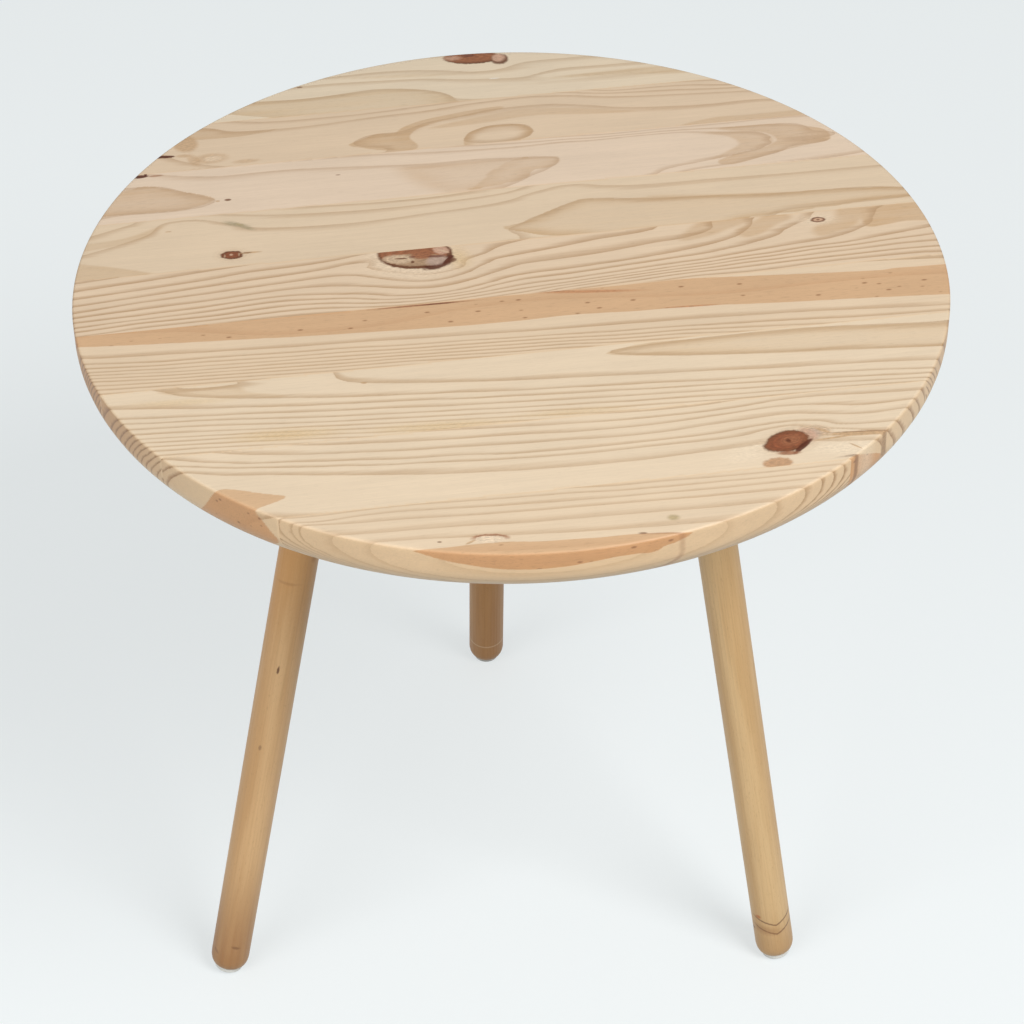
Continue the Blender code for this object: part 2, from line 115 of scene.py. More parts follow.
# Growth rings on the top face: the stave, the ring's number and the points that it runs through.
# A whole number is the dark end of a ring, and numbers rise away from the tree's pith.
RINGS = (
    (9, 0, (-184, 227), (-155, 230), (-126, 236), (-102, 242), (-82, 243), (-63, 241), (-48, 236),
     (-39, 228)),
    (9, -0.3, (-160, 217), (-110, 224), (-72, 228)),
    (9, 0.5, (-150, 240), (-100, 248), (-50, 248), (-15, 243), (40, 246), (110, 254)),
    (9, 1, (-157, 248), (-131, 251.6), (-102, 254), (-58, 256.5), (-14, 255.5), (12, 257.5), (29, 265),
     (41, 269), (63, 272), (96, 276)),
    (9, 0.93, (29, 255), (63, 259), (92, 262.5), (121, 266)),
    (9, 0.72, (48, 262), (75, 266), (100, 269.5)),
    (9, 2, (-133, 261), (-106, 266), (-70, 269), (-46, 268), (-27, 266), (-10, 268), (2, 273.5),
     (14, 279.5), (34, 283), (53, 285.5)),
    (9, 2.6, (-85, 279), (-50, 282)),
    (8, 0, (-31, 174), (-25, 183), (-14, 189), (1, 191), (11, 190), (17, 184), (17, 179), (12, 173),
     (-27, 167)),
    (8, -0.85, (-11, 176), (0, 177)),
    (8, 0.5, (-50, 180), (-20, 199), (40, 203), (60, 190), (95, 190)),
    (8, 0.8, (-92, 172), (-84, 174), (150, 197), (180, 201), (205, 205)),
    (8, 1, (-113, 168), (-102, 178), (-90, 181), (-81, 182), (-68, 190), (-56, 197), (-36, 203),
     (-19, 210), (1, 214), (19, 217), (38, 218), (58, 216), (77, 213), (96, 212), (125, 213),
     (159, 216.5), (188, 221)),
    (8, 1, (-109, 164), (-88, 160)),
    (8, 1.35, (-200, 170), (-170, 160), (-140, 170), (-120, 190)),
    (8, 2, (-220, 191), (-203, 186), (-179, 187.5), (-155, 191), (-131, 196), (-106, 202), (-82, 207),
     (-63, 210.5), (-34, 219), (-10, 224.5), (14, 229), (50, 230), (92, 228), (125, 230), (179, 233)),
    (8, 3, (-185, 199), (-143, 203), (-106, 208.5), (-70, 216.5), (-50, 221), (87, 233.5), (135, 237),
     (171, 238.5)),
    (8, 4, (75, 237), (111, 241), (135, 243), (169, 243)),
    (7, -1, (-276, 112), (-252, 114), (-232, 106), (-215, 99), (-209, 93), (-218, 87), (-239, 81),
     (-268, 78)),
    (7, -1.2, (-270, 95), (-245, 96), (-228, 95)),
    (7, -0.65, (-190, 95), (-160, 110), (-120, 105), (-90, 118), (-230, 117)),
    (7, 0, (-264, 131), (-237, 127), (-213, 126), (-191, 129), (-164, 133), (-131, 135.5), (-94, 137.5),
     (-58, 139), (-34, 142.5), (1, 145), (19, 146.5), (33, 146), (36, 141), (33, 135), (26, 128),
     (14, 120), (0, 109)),
    (7, -0.2, (-10, 132), (12, 137), (-16, 119)),
    (7, -0.4, (-48, 130), (-40, 115), (-55, 103)),
    (7, 0.4, (-200, 137), (-100, 146), (-20, 153), (45, 155), (50, 130)),
    (7, 0.55, (70, 152), (90, 153), (120, 154), (150, 156)),
    (7, 1, (38, 166), (87, 172), (125, 177), (159, 176), (181, 175.5), (191, 169), (191, 162), (181, 152),
     (159, 144), (135, 135.5), (106, 121.5)),
    (7, 2, (-18, 163.5), (20, 167), (60, 171), (87, 174.5), (125, 180), (159, 182.5), (183, 185),
     (198, 187), (217, 183), (234, 175), (232, 164), (222, 159.5), (203, 155), (183, 143), (159, 133),
     (126, 124)),
    (7, 1.75, (206, 172), (218, 171), (200, 164)),
    (7, 2.5, (230, 152), (220, 147), (185, 190)),
    (6, 1, (0, 55.5), (14, 66.5), (29, 76), (46, 87), (55, 90.5), (87, 90), (135, 92), (183, 93.5),
     (208, 96), (232, 99), (256, 101), (280, 99)),
    (6, 1, (6, 46), (196, 73), (220, 77), (244, 81), (280, 87)),
    (6, 0.82, (22, 58), (37, 72), (55, 84), (120, 84), (150, 76), (190, 83), (230, 89), (262, 93)),
    (6, 0.45, (42, 60), (60, 68), (85, 68)),
    (6, 0.75, (120, 66), (150, 65)),
    (6, 1.2, (235, 74), (265, 79)),
    (6, 1.45, (-240, 25), (-150, 35), (-80, 50), (-20, 60), (10, 80), (40, 98), (150, 103)),
    (6, 2, (-278, 37), (-264, 45), (-254, 51), (-248, 61), (-242, 67), (-227, 70.5), (-210, 69),
     (-196, 65), (-184, 60.5), (-164, 59), (-131, 61), (-94, 66.5), (-58, 75), (-34, 80), (0, 90),
     (14, 98), (29, 105), (38, 108), (63, 107.5), (87, 107), (135, 112.5), (208, 121), (266, 129)),
    (6, 3, (-289, 53), (-276, 60), (-266, 65), (-260, 70), (-251, 72.5), (-227, 75), (-203, 77),
     (-186, 76), (-164, 75.5), (-131, 77.5), (-94, 81), (-58, 87), (-34, 92), (1, 101)),
    (6, 4, (-100, 88.5), (-58, 94.5)),
    (5, 1, (-293, -24), (-252, -14.5), (-203, -2.5), (-179, 5), (-143, 12), (-121, 17.5), (-106, 23)),
    (5, 2, (-293, -33), (-252, -23), (-203, -11), (-167, -2.5), (-131, 6), (-114, 12), (-106, 14),
     (-99, 9), (-89, 4), (-70, 0), (-50, 0), (-32, 8), (-20, 22), (-8, 32)),
    (5, 3, (-293, -41), (-252, -30), (-203, -19.5), (-155, -8.5), (-126, -2.5), (-106, -1), (-89, -5),
     (-70, -8.5), (-56, -9), (-39, -4), (-22, 8), (-10, 17), (14, 24), (38, 31.5), (63, 40), (100, 51)),
    (5, 4, (-293, -47), (-252, -38), (-203, -28), (-155, -17), (-118, -13.5), (-94, -14.5), (-70, -17),
     (-51, -16), (-34, -11), (-14, -1), (1, 7), (26, 14.5), (63, 23), (99, 34), (125, 41), (141, 51)),
    (5, 5, (-293, -53), (-252, -45), (-203, -35), (-155, -24.5), (-118, -23), (-82, -25.5), (-58, -24.5),
     (-34, -19.5), (-14, -12), (1, -4.5), (38, 3.5), (75, 12), (111, 21.5), (140, 31.5), (159, 42),
     (169, 56), (170, 62)),
    (5, 6, (-285, -57), (-252, -50), (-203, -41), (-155, -30.5), (-106, -28), (-70, -29), (-39, -24.5),
     (-10, -14.5), (0, -11), (38, -2.5), (75, 6), (111, 14.5), (147, 24), (174, 35), (190, 47),
     (200, 55)),
    (5, 7, (-252, -54.5), (-203, -47), (-155, -36.5), (-106, -34), (-70, -33), (-34, -26.5), (1, -17),
     (38, -8.5), (87, 2.5), (135, 13), (171, 23), (208, 32.5), (232, 41), (246, 50), (254, 62),
     (258, 72)),
    (5, 8, (-203, -51.5), (-155, -42.5), (-106, -38.5), (0, -21.5), (38, -12.5), (87, -1.5), (135, 9.5),
     (183, 20), (232, 31), (256, 38), (292, 49)),
    (5, 9, (14, -22), (63, -10), (111, 1), (159, 11.5), (208, 22.5), (256, 32), (295, 40)),
    (5, 10, (38, -18.5), (87, -7.5), (135, 2), (183, 11.5), (232, 21), (268, 28), (297, 32)),
    (5, 11, (87, -11.5), (135, -1.5), (183, 7), (232, 15.5), (256, 19.5), (297, 25)),
    (5, 12, (125, -7.5), (159, -3.5), (196, 3.5), (232, 10.5), (280, 17)),
    (5, 6.3, (228, 62), (222, 50)),
    (5, 12.5, (230, 6), (290, 11)),
    (4, 0.3, (-250, -72), (0, -45), (280, -18)),
    (4, 1, (-285, -93), (-227, -89), (-155, -83.5), (-82, -76.5), (0, -69.5), (63, -63), (135, -56),
     (208, -50), (295, -45)),
    (4, 2, (-285, -99.5), (-227, -97), (-155, -90), (-82, -83.5), (0, -76.5), (63, -71), (135, -64.5),
     (208, -59), (295, -51.5)),
    (4, 3, (-285, -104), (-203, -98.5), (-106, -89.5), (0, -80), (63, -75.5), (135, -69)),
    (4, 4, (-285, -109), (-203, -103), (-106, -94), (0, -84), (63, -79.5), (111, -74.5)),
    (4, 5, (-285, -112), (-203, -107), (-106, -98), (0, -88), (40, -84)),
    (4, 6, (-276, -115.5), (-203, -110.5), (-106, -101.5), (0, -92)),
    (4, 7, (-276, -119), (-203, -114), (-131, -107.5), (-70, -101)),
    (4, 8, (-276, -123.5), (-203, -118), (-131, -111.5)),
    (4, 9, (-270, -128), (-203, -122)),
    (3, -1, (64, -94), (82, -88), (111, -82), (145, -76), (170, -73), (196, -69.5), (232, -67),
     (290, -63.5)),
    (3, -1, (82, -97), (111, -98.5), (159, -97), (208, -94.5), (280, -92)),
    (3, -1.18, (90, -93), (120, -90)),
    (3, -1.32, (170, -84), (240, -80), (280, -77)),
    (3, -0.55, (-70, -108), (0, -108), (60, -105), (135, -106), (270, -99)),
    (3, 0, (-117, -113), (-115, -118), (-109, -121.5), (-97, -123.5), (-70, -124), (-34, -124), (1, -123),
     (63, -119.5), (135, -115), (208, -110.5), (280, -107)),
    (3, 0.4, (-150, -126), (-130, -121)),
    (3, 0.82, (-205, -131), (-188, -130)),
    (3, 1, (-231, -130), (-220, -134), (-198, -137), (-174, -138.5), (-131, -139), (-94, -138),
     (-58, -136.5), (1, -134.5), (63, -130.5), (135, -126), (208, -119.5), (280, -116)),
    (3, 1, (-203, -127), (-180, -123)),
    (3, 2, (-259, -148.5), (-227, -148.5), (-179, -148), (-106, -145.5), (-58, -143), (0, -140.5),
     (63, -136), (135, -130.5), (208, -125.5), (278, -121)),
    (3, 3, (-254, -159.5), (-227, -158.5), (-191, -156.5), (-143, -154.5), (-94, -152), (-46, -150),
     (0, -147), (63, -142.5), (135, -137), (208, -131), (278, -126)),
    (3, 4, (-252, -165), (-203, -162), (-131, -160), (-58, -156), (0, -153), (63, -148.5), (135, -142.5),
     (183, -137.5), (232, -133.5), (275, -130)),
    (3, 5, (-247, -171), (-179, -167), (-106, -164.5), (0, -158), (63, -154), (111, -149.5)),
    (3, 6, (-242, -176.5), (-179, -172.5), (-106, -169), (0, -162.5), (50, -159.5)),
    (3, 7, (-240, -181), (-179, -177), (-106, -173.5), (-40, -169.5)),
    (3, 8, (-236, -185), (-179, -181), (-106, -177.5)),
    (3, 9, (-232, -189), (-179, -185.5), (-140, -183)),
    (3, 10, (-228, -193.5), (-185, -190)),
    (2, 0, (100, -156.5), (130, -151)),
    (2, 1, (-34, -175), (0, -173), (50, -169), (111, -162), (147, -155), (171, -149), (196, -145),
     (232, -142.5), (268, -139)),
    (2, 2, (-131, -189), (-94, -188), (-58, -186), (0, -181.5), (38, -179), (87, -173), (123, -166),
     (159, -157.5), (183, -154.5), (220, -155), (244, -152), (263, -148.5)),
    (2, 3, (-186, -196), (-155, -198), (-118, -198), (-82, -196.5), (-46, -194), (0, -190.5), (38, -187),
     (87, -182), (123, -174.5), (159, -166.5), (183, -163), (208, -164), (232, -163), (251, -159)),
    (2, 4, (-218, -202), (-198, -205), (-167, -207), (-118, -206), (-70, -204.5), (0, -200.5), (38, -197),
     (87, -190), (135, -181.5), (159, -175), (178, -171.5), (208, -175), (222, -174.5), (244, -172)),
    (2, 5, (-222, -208.5), (-206, -209.5), (-167, -211.5), (-106, -210.5), (-58, -209), (0, -205.5),
     (38, -202), (87, -195), (116, -191), (145, -186), (160, -180), (178, -175.5), (205, -179),
     (234, -182)),
    (2, 6, (-215, -215), (-203, -216), (-155, -218.5), (-94, -220), (-46, -220), (0, -218), (38, -214.5),
     (87, -208), (123, -201)),
    (2, 6.3, (-203, -228), (-130, -233), (-60, -234), (20, -228), (100, -217), (140, -208)),
    (2, 6.4, (-60, -243), (60, -230), (150, -216), (200, -206), (234, -196)),
    (1, 0, (63, -234.5), (87, -231.5), (135, -226.5), (198, -217.5)),
    (1, 1, (0, -245), (38, -241), (87, -237), (135, -231.5), (188, -224.5)),
    (1, 2, (-125, -266.5), (-101.5, -262), (-75, -257.5), (-58, -256), (0, -252), (38, -248.5),
     (87, -243), (135, -238), (183, -231)),
    (1, 3, (-131, -269.5), (-94, -267), (-58, -263.5), (0, -259), (38, -255), (87, -249.5), (135, -244.5),
     (171, -240)),
    (1, 4, (-106, -279), (-58, -274.5), (0, -270), (38, -266), (87, -261), (135, -256), (159, -252.5)),
    (1, 5, (-60, -284), (0, -281), (38, -279), (75, -276), (123, -271)),
    (1, 6, (-30, -297), (30, -294), (90, -288)),
)

# How the rings run down through the boards. In staves 1 to 5 they lean back as they go down, by
# so many millimetres a millimetre at the left and the right end, less with depth, and in stave 1
# they bend to the front. The others were cut above the pith: across from the stave's middle,
# depth below the top, ring spacing, mm.
LEANS = {1: (0.22, 0.22, 0.0018), 2: (0.9, 0.65, 0), 3: (1, 1, 0), 4: (1, 1, 0), 5: (1, 0.9, 0)}
LEAN_DEPTH = 75.0
BEND_DEPTH = 24.0
PITHS = {6: (10, 60, 14.0), 7: (10, 50, 13.0), 8: (-40, 60, 13.0), 9: (-60, 50, 11.0)}

# Heartwood patches: the stave and an outline in order, as seen on the face or over the rim. The
# one at the front left lies across two staves.
LEFT_HEART = ((-185, -233.5), (-170, -234), (-160, -236.5), (-150, -238.5), (-141.5, -240.6),
              (-148, -246), (-160, -253.5), (-157, -262), (-151, -275), (-147, -286), (-170, -285),
              (-215, -262), (-197, -250))
HEARTS = (
    (4, (-330, -72), (-250, -62), (-150, -48), (0, -27), (62, -18.5), (96, -13.4), (125, -9.8), (159, -8),
     (208, -5.6), (251, -3.2), (271, 0), (330, 2), (330, -31), (297, -32.7), (232, -36.4), (179, -40),
     (125, -42.4), (87, -47), (38, -51), (0, -57.5), (-58, -64), (-131, -70.3), (-191, -74.4),
     (-239, -77.5), (-290, -80), (-330, -82)),
    (2, *LEFT_HEART),
    (2, (214, -208), (222, -206), (231, -204.5), (236, -205), (250, -215), (240, -240), (215, -240),
     (205, -222)),
    (1, *LEFT_HEART),
    (1, (-62, -295), (-40, -292), (-25, -289.5), (-5, -287.5), (15, -287.5), (52, -284.5), (77, -281.7),
     (112, -281), (116, -282), (104.6, -286.5), (97, -292), (89, -294.5), (92, -298), (83, -300),
     (70, -301.7), (56, -305.3), (42, -309.5), (30, -312.5), (9, -314.6), (-13, -313.2), (-40, -306),
     (-58, -297.5)),
)

# Tan patches where the face runs along the dark end of a ring: the stave, the tone at the edge
# and in the middle, how far in the middle's tone is reached, softness of the edge (mm), outline
TANS = (
    (9, 0.62, 0.4, 12, 0.6, (-215, 212), (-200, 224), (-185, 227.5), (-156, 230), (-127, 236),
     (-103, 242), (-83, 242.7), (-64, 240.8), (-49, 236), (-40, 228), (-37, 212), (-120, 200)),
    (9, 0.55, 0.5, 8, 4, (30, 254.5), (63, 257), (95, 259.5), (140, 261), (150, 272), (110, 270),
     (63, 262)),
    (9, 0.35, 0.3, 8, 3, (-140, 258), (-100, 262), (-60, 264), (-40, 262), (-80, 259)),
    (8, 0.75, 0, 4.5, 0.6, (-32, 174), (-26, 182.7), (-15.5, 188.7), (0, 191), (10.6, 190), (17, 184),
     (17, 179), (12, 172), (-8, 162), (-30, 160)),
    (8, 0.68, 0.55, 8, 0.9, (-117, 165.5), (-105, 174.5), (-97, 180), (-88, 180.5), (-82, 182),
     (-78, 188.5), (-64.6, 197.5), (-49.7, 203.5), (-28, 211), (-6, 216), (-6, 211.5), (-41, 200),
     (-58, 192), (-67.5, 185.5), (-72.5, 175), (-66, 164), (-70, 158), (-92, 158), (-106, 161.5)),
    (8, 0.7, 0.5, 8, 1.5, (-245, 191), (-221, 191), (-204, 186.3), (-185, 187), (-168, 189),
     (-185, 182.5), (-205, 178), (-240, 176)),
    (8, 0.55, 0.5, 6, 2, (128, 184), (150, 196), (175, 199.5), (205, 204), (235, 208), (240, 190),
     (200, 184)),
    (8, 0.45, 0.35, 8, 2.5, (-60, 186), (-35, 197), (0, 209), (30, 213), (60, 211), (95, 206), (60, 204),
     (20, 203), (-20, 193)),
    (7, 0.72, 0.38, 10, 0.8, (-10, 133), (6, 145), (20, 146.5), (35, 146.4), (35.5, 138), (26, 130.6),
     (16.6, 128), (14, 119.7), (4.5, 113.7), (-10, 109), (-30, 103), (-22, 113), (-18, 124)),
    (7, 0.5, 0.25, 14, 9, (-78, 133), (-40, 139), (0, 143), (12, 138), (4, 118), (-20, 106), (-52, 104)),
    (7, 0.75, 0.5, 12, 0.8, (-310, 112), (-273, 109), (-266, 113.7), (-254, 114), (-239, 109),
     (-220, 103), (-209, 97), (-215, 91), (-230, 83.5), (-252, 80), (-281, 77), (-310, 76)),
    (7, 0.75, 0.62, 8, 0.8, (174, 177.5), (186, 175), (194, 168.5), (193, 161), (183, 154), (165, 147),
     (150, 136), (160, 132.5), (179, 140.5), (196, 149), (215, 157), (232, 163), (234, 172), (229, 179),
     (213, 184), (196, 186), (179, 185), (150, 181)),
    (7, 0.6, 0.55, 8, 2, (140, 176), (174, 176.6), (186, 173.5), (192, 168), (191, 161), (183, 155),
     (169, 150), (145, 139), (158, 150), (167, 160), (160, 170)),
    (6, 0.78, 0.22, 9, 0.7, (-6, 55.5), (9, 61.7), (26, 75), (43, 86), (53, 90.7), (75, 90.7),
     (111, 91.5), (159, 94.4), (196, 95.6), (220, 98), (256, 100.4), (310, 100), (310, 92), (283, 87),
     (256, 83.4), (232, 77.3), (213, 73.7), (198, 69), (169, 64), (150, 50), (65, 43), (46, 45),
     (26, 44.7), (9, 49.5)),
    (6, 0.7, 0.6, 6, 6, (95, 91), (150, 93), (200, 94.5), (310, 99), (310, 92), (235, 80), (200, 72),
     (169, 67), (140, 62), (115, 66)),
    (6, 0.5, 0.5, 6, 3, (14, 57), (28, 71), (44, 81), (50, 77), (34, 64), (24, 56)),
    (6, 0.6, 0.5, 6, 2, (-320, 20), (-290, 16), (-270, 12), (-252, 7), (-247, 4), (-262, -2), (-280, -5),
     (-320, -14)),
    (6, 0.4, 0.35, 5, 2.5, (-36, 30.5), (-14, 37), (4, 41), (4, 33), (-30, 27)),
    (6, 0.45, 0.3, 8, 2.5, (-300, 40), (-276, 46), (-262, 52), (-250, 60), (-240, 66), (-250, 54),
     (-262, 44), (-300, 32)),
    (5, 0.6, 0.55, 8, 3.5, (118, 36), (140, 42), (152, 50), (168, 60), (168, 74), (140, 64), (126, 52)),
    (5, 0.62, 0.6, 8, 3, (163, 39), (176, 44), (186, 54), (198, 64), (184, 70), (171, 59), (158, 48)),
    (5, 0.66, 0.62, 8, 3, (214, 40), (231, 46), (243, 55), (247.5, 74), (231, 74), (227, 62), (212, 50)),
    (5, 0.74, 0.68, 8, 2, (250, 50), (264, 53), (278, 57), (310, 60), (310, 90), (242, 88), (244, 72),
     (246, 60)),
    (3, 0.58, 0.26, 10, 0.8, (62, -95.5), (72, -89.6), (92, -83.5), (121, -80), (140, -77.5),
     (164, -72.7), (196, -69), (232, -67.8), (292, -65.4), (320, -65), (320, -91), (285, -92),
     (232, -94.4), (183, -97), (147, -97.6), (111, -98), (79, -97.6)),
    (3, 0.42, 0.3, 6, 2.2, (-231, -131), (-215, -127.6), (-196, -126), (-184, -123.7), (-176, -127),
     (-172, -132), (-150, -135.5), (-150, -138.5), (-179, -137.5), (-215, -135)),
    (3, 0.3, 0.3, 6, 3, (-116, -113), (-104, -118), (-60, -121), (-20, -122), (-60, -124.5), (-96, -123),
     (-110, -119)),
)

# Marks on the face: stave, middle, half sizes (mm), turn (degrees), paint, strength, softness
MARKS = (
    (9, -27, 286.5, 21.5, 9, 3, "edge", 1, 0.1),
    (9, -27.5, 287.5, 19.5, 8, 3, "red", 0.95, 0.18),
    (9, -42, 286, 6, 3, 4, "pink", 0.7, 0.6),
    (9, -30, 289.5, 5, 2, 4, "shade", 0.8, 0.5),
    (9, -6, 284, 6.5, 7.5, -10, "edge", 0.95, 0.2),
    (9, -7, 286, 5, 5.5, -10, "pink", 0.95, 0.3),
    (9, -156, 247, 2.4, 1, 5, "resin", 0.7, 0.4),
    (9, -10, 256, 3.6, 0.6, 8, "white", 0.6, 0.4),
    (9, -155, 274, 2.5, 0.9, 30, "resin", 0.6, 0.4),
    (8, -236, 170, 9, 11, 20, "tan", 0.75, 0.25),
    (8, -216, 150, 12, 6.5, 10, "tan", 0.55, 0.35),
    (8, -214, 150, 7, 3.5, 10, "early", 0.6, 0.4),
    (8, -228, 148, 4, 8, 25, "tan", 0.5, 0.4),
    (8, -250, 153, 8, 1.8, 4, "dark", 0.95, 0.2),
    (8, -236, 154, 5, 2, 4, "tan", 0.6, 0.5),
    (8, -190, 146, 9, 2.5, 8, "tan", 0.5, 0.5),
    (7, -266, 127, 7, 2, 8, "dark", 0.95, 0.2),
    (7, -261.5, 131.5, 1.1, 4, 5, "dark", 0.9, 0.3),
    (7, -254, 128, 5, 1.2, 10, "red", 0.6, 0.4),
    (7, -200, 95.5, 2.4, 1.4, 5, "resin", 0.85, 0.3),
    (7, -207, 94, 1.6, 0.9, 5, "tan", 0.8, 0.4),
    (7, -123, 126, 1.8, 0.7, 5, "resin", 0.6, 0.4),
    (7, -5, 103, 12, 0.8, 8, "tan", 0.6, 0.4),
    (6, -192.6, 26.2, 11, 8, 3, "cream", 0.45, 0.5),
    (6, -192.6, 26.2, 7.8, 5.2, 3, "edge", 1, 0.14),
    (6, -192.8, 26.2, 5.9, 3.7, 3, "brick", 0.9, 0.3),
    (6, -197.6, 25.1, 0.6, 2, 3, "cream", 0.5, 0.5),
    (6, -187.8, 26.7, 0.6, 1.9, 3, "cream", 0.5, 0.5),
    (6, -193.2, 26.6, 1.2, 1.1, 0, "pale", 0.9, 0.5),
    (6, -180, 29, 7, 1.1, 8, "tan", 0.85, 0.4),
    (6, -182.5, 28.7, 3, 0.9, 8, "resin", 0.5, 0.5),
    (6, -196, 65.5, 5, 2.4, -10, "smudge", 0.6, 0.8),
    (6, -190, 63.2, 6, 2.2, -14, "smudge", 0.7, 0.8),
    (6, -184, 59.5, 5, 1.8, -24, "smudge", 0.7, 0.8),
    (6, -190, 64, 3, 0.9, -20, "smudge_brown", 0.6, 0.6),
    (6, -284, 70, 3.4, 1.2, 10, "resin", 0.8, 0.3),
    (6, -239, 56, 2.2, 0.6, 8, "tan", 0.8, 0.4),
    (5, -66, 18, 33, 23, 3, "early", 0.7, 0.35),
    (5, -36, 19, 7, 11, 12, "gold", 0.5, 0.9),
    (5, -66, 24.3, 26, 18.2, 2, "edge", 1, 0.05),
    (5, -50, 11.5, 11, 5, 28, "dark", 0.95, 0.25),
    (5, -43.5, 17.5, 5.5, 3.6, 50, "dark", 0.9, 0.3),
    (5, -67, 25.4, 23.6, 14.8, 2, "red", 1, 0.07),
    (5, -64, 17.2, 19.6, 7.6, 2, "grey", 0.95, 0.12),
    (5, -77.6, 18.1, 10.6, 5.2, -2, "cream", 0.9, 0.25),
    (5, -61.1, 23.4, 7.5, 5.4, 4, "red", 0.95, 0.3),
    (5, -51, 16.3, 7.5, 5.2, 24, "ash", 0.85, 0.35),
    (5, -51.5, 21.2, 6, 1.5, 2, "shade", 0.8, 0.4),
    (5, -43.2, 16.6, 6, 1.5, 58, "dark", 0.95, 0.3),
    (5, -39.5, 16.5, 2.6, 2.2, 30, "edge", 0.8, 0.4),
    (5, -48, 28.5, 5.6, 4.6, -22, "pink", 0.9, 0.25),
    (5, -46.5, 27.5, 4, 1, -30, "cream", 0.6, 0.5),
    (5, -75.6, 18.8, 4.4, 0.8, 3, "edge", 0.9, 0.3),
    (5, -67.5, 14.6, 1.2, 1.5, 0, "edge", 0.9, 0.4),
    (5, -68, 20.7, 2.4, 1.1, 0, "shade", 0.7, 0.4),
    (5, 215.7, 59.7, 13, 6.5, 5, "early", 0.6, 0.5),
    (5, 215.7, 59.7, 5.2, 3.2, 5, "resin", 0.95, 0.2),
    (5, 215.7, 59.7, 3.5, 1.9, 5, "pale", 1, 0.3),
    (5, 215.7, 59.7, 1.2, 0.8, 5, "resin", 0.8, 0.4),
    (4, -60, -36.8, 33, 0.9, 7.5, "red", 0.85, 0.5),
    (4, -50, -35.6, 10, 0.9, 7.5, "dark", 0.5, 0.6),
    (4, 52, -23.6, 32, 1.5, 1, "flame", 0.75, 0.6),
    (4, 30, -22.8, 10, 0.7, 4, "red", 0.5, 0.6),
    (4, 121, -42.6, 18, 0.8, 5, "flame", 0.8, 0.5),
    (4, -1, -22, 1.4, 1, 0, "white", 0.9, 0.3),
    (4, 14, -20.5, 1.4, 0.5, 10, "white", 0.7, 0.3),
    (3, -145, -178, 28, 5.5, 5, "gold", 0.5, 0.8),
    (3, -45, -171, 38, 4.5, 5, "gold", 0.45, 0.8),
    (3, -215, -142, 26, 3, 4, "gold", 0.35, 0.8),
    (3, -97, -123.6, 2, 0.9, 0, "tan", 0.9, 0.4),
    (3, 40, -158, 30, 3, 6, "gold", 0.35, 0.8),
    (2, 212, -199, 22, 7, 3, "sapwood", 0.45, 0.6),
    (2, 150, -203, 18, 8, 20, "sapwood", 0.35, 0.6),
    (2, 177, -190, 21, 13, 27, "cream", 0.5, 0.35),
    (2, 193, -181.5, 10, 6, 2, "cream", 0.95, 0.3),
    (2, 192, -183.5, 4, 4.5, 10, "ash", 0.6, 0.6),
    (2, 165, -197, 6.5, 5, 10, "edge", 0.95, 0.3),
    (2, 187.8, -185.2, 5, 7, 30, "pink", 0.8, 0.4),
    (2, 174.2, -191.7, 14.6, 10.4, 27, "edge", 1, 0.1),
    (2, 166.5, -196.4, 5.5, 4, 10, "brick", 0.85, 0.5),
    (2, 174.2, -191.7, 12.8, 8.6, 27, "brick", 0.95, 0.3),
    (2, 177, -190.2, 7.5, 5, 27, "red", 0.9, 0.5),
    (2, 174.9, -191.2, 1.5, 1.9, 20, "dark", 0.8, 0.5),
    (2, 183.8, -196.9, 10, 2, 50, "dark", 0.95, 0.3),
    (2, 174, -204, 7, 1.9, 4, "red", 0.85, 0.4),
    (2, 155, -196.4, 2.6, 0.9, 0, "sapwood", 0.8, 0.5),
    (2, 197.5, -181, 5, 1.2, -28, "tan", 0.7, 0.5),
    (2, 222, -184.4, 22, 2.4, 3, "tan", 0.9, 0.3),
    (2, 222, -182.6, 21, 0.6, 3, "resin", 0.45, 0.5),
    (2, 205, -188.5, 12, 0.8, 12, "tan", 0.9, 0.5),
    (2, 234.2, -193, 1.2, 12, -16, "edge", 0.4, 0.4),
    (2, 217.1, -197.5, 4.5, 0.7, -38, "tan", 0.8, 0.4),
    (2, 166.4, -214, 9.5, 5.4, 10, "heart_late", 0.85, 0.2),
    (2, 221.5, -206, 14, 1.2, 10, "edge", 0.55, 0.5),
    (1, -15, -283.6, 11.5, 3.6, 1, "red", 0.85, 0.2),
    (1, -15, -285, 10.2, 3.4, 1, "early", 1, 0.2),
    (1, -27, -287.5, 3.5, 0.9, 35, "tan", 0.8, 0.4),
    (1, 98, -266.5, 3.4, 2.6, 0, "smudge_brown", 0.7, 0.6),
    (1, 78.5, -281.2, 2.4, 0.9, 2, "resin", 0.7, 0.5),
    (1, 92, -281.6, 14, 0.8, 2, "red", 0.4, 0.5),
    (1, -46, -287, 1.4, 0.8, 0, "resin", 0.7, 0.4),
)

# Rings change slowly along the grain, so that direction is drawn together before they are
# fitted, and the fitted surface may miss the given points a little to stay even
ALONG_SHARE = 0.22
EVENNESS = 0.02

# Half the length over which the rings' steepness is taken, metres
PROBE = 0.0005


def plate(where, places):
    """The thin-plate kernel between two sets of places."""
    gap = ((where[:, None, :] - places[None, :, :]) ** 2).sum(-1)
    return 0.5 * gap * np.log(np.maximum(gap, 1e-12))


def spline_weights(places, levels):
    """Weights of the thin-plate surface that runs through ring numbers at places."""
    count = len(places)
    bend = plate(places, places) + EVENNESS * np.eye(count)
    slope = np.c_[np.ones(count), places]
    system = np.block([[bend, slope], [slope.T, np.zeros((3, 3))]])
    return np.linalg.solve(system, np.r_[levels, np.zeros(3)])


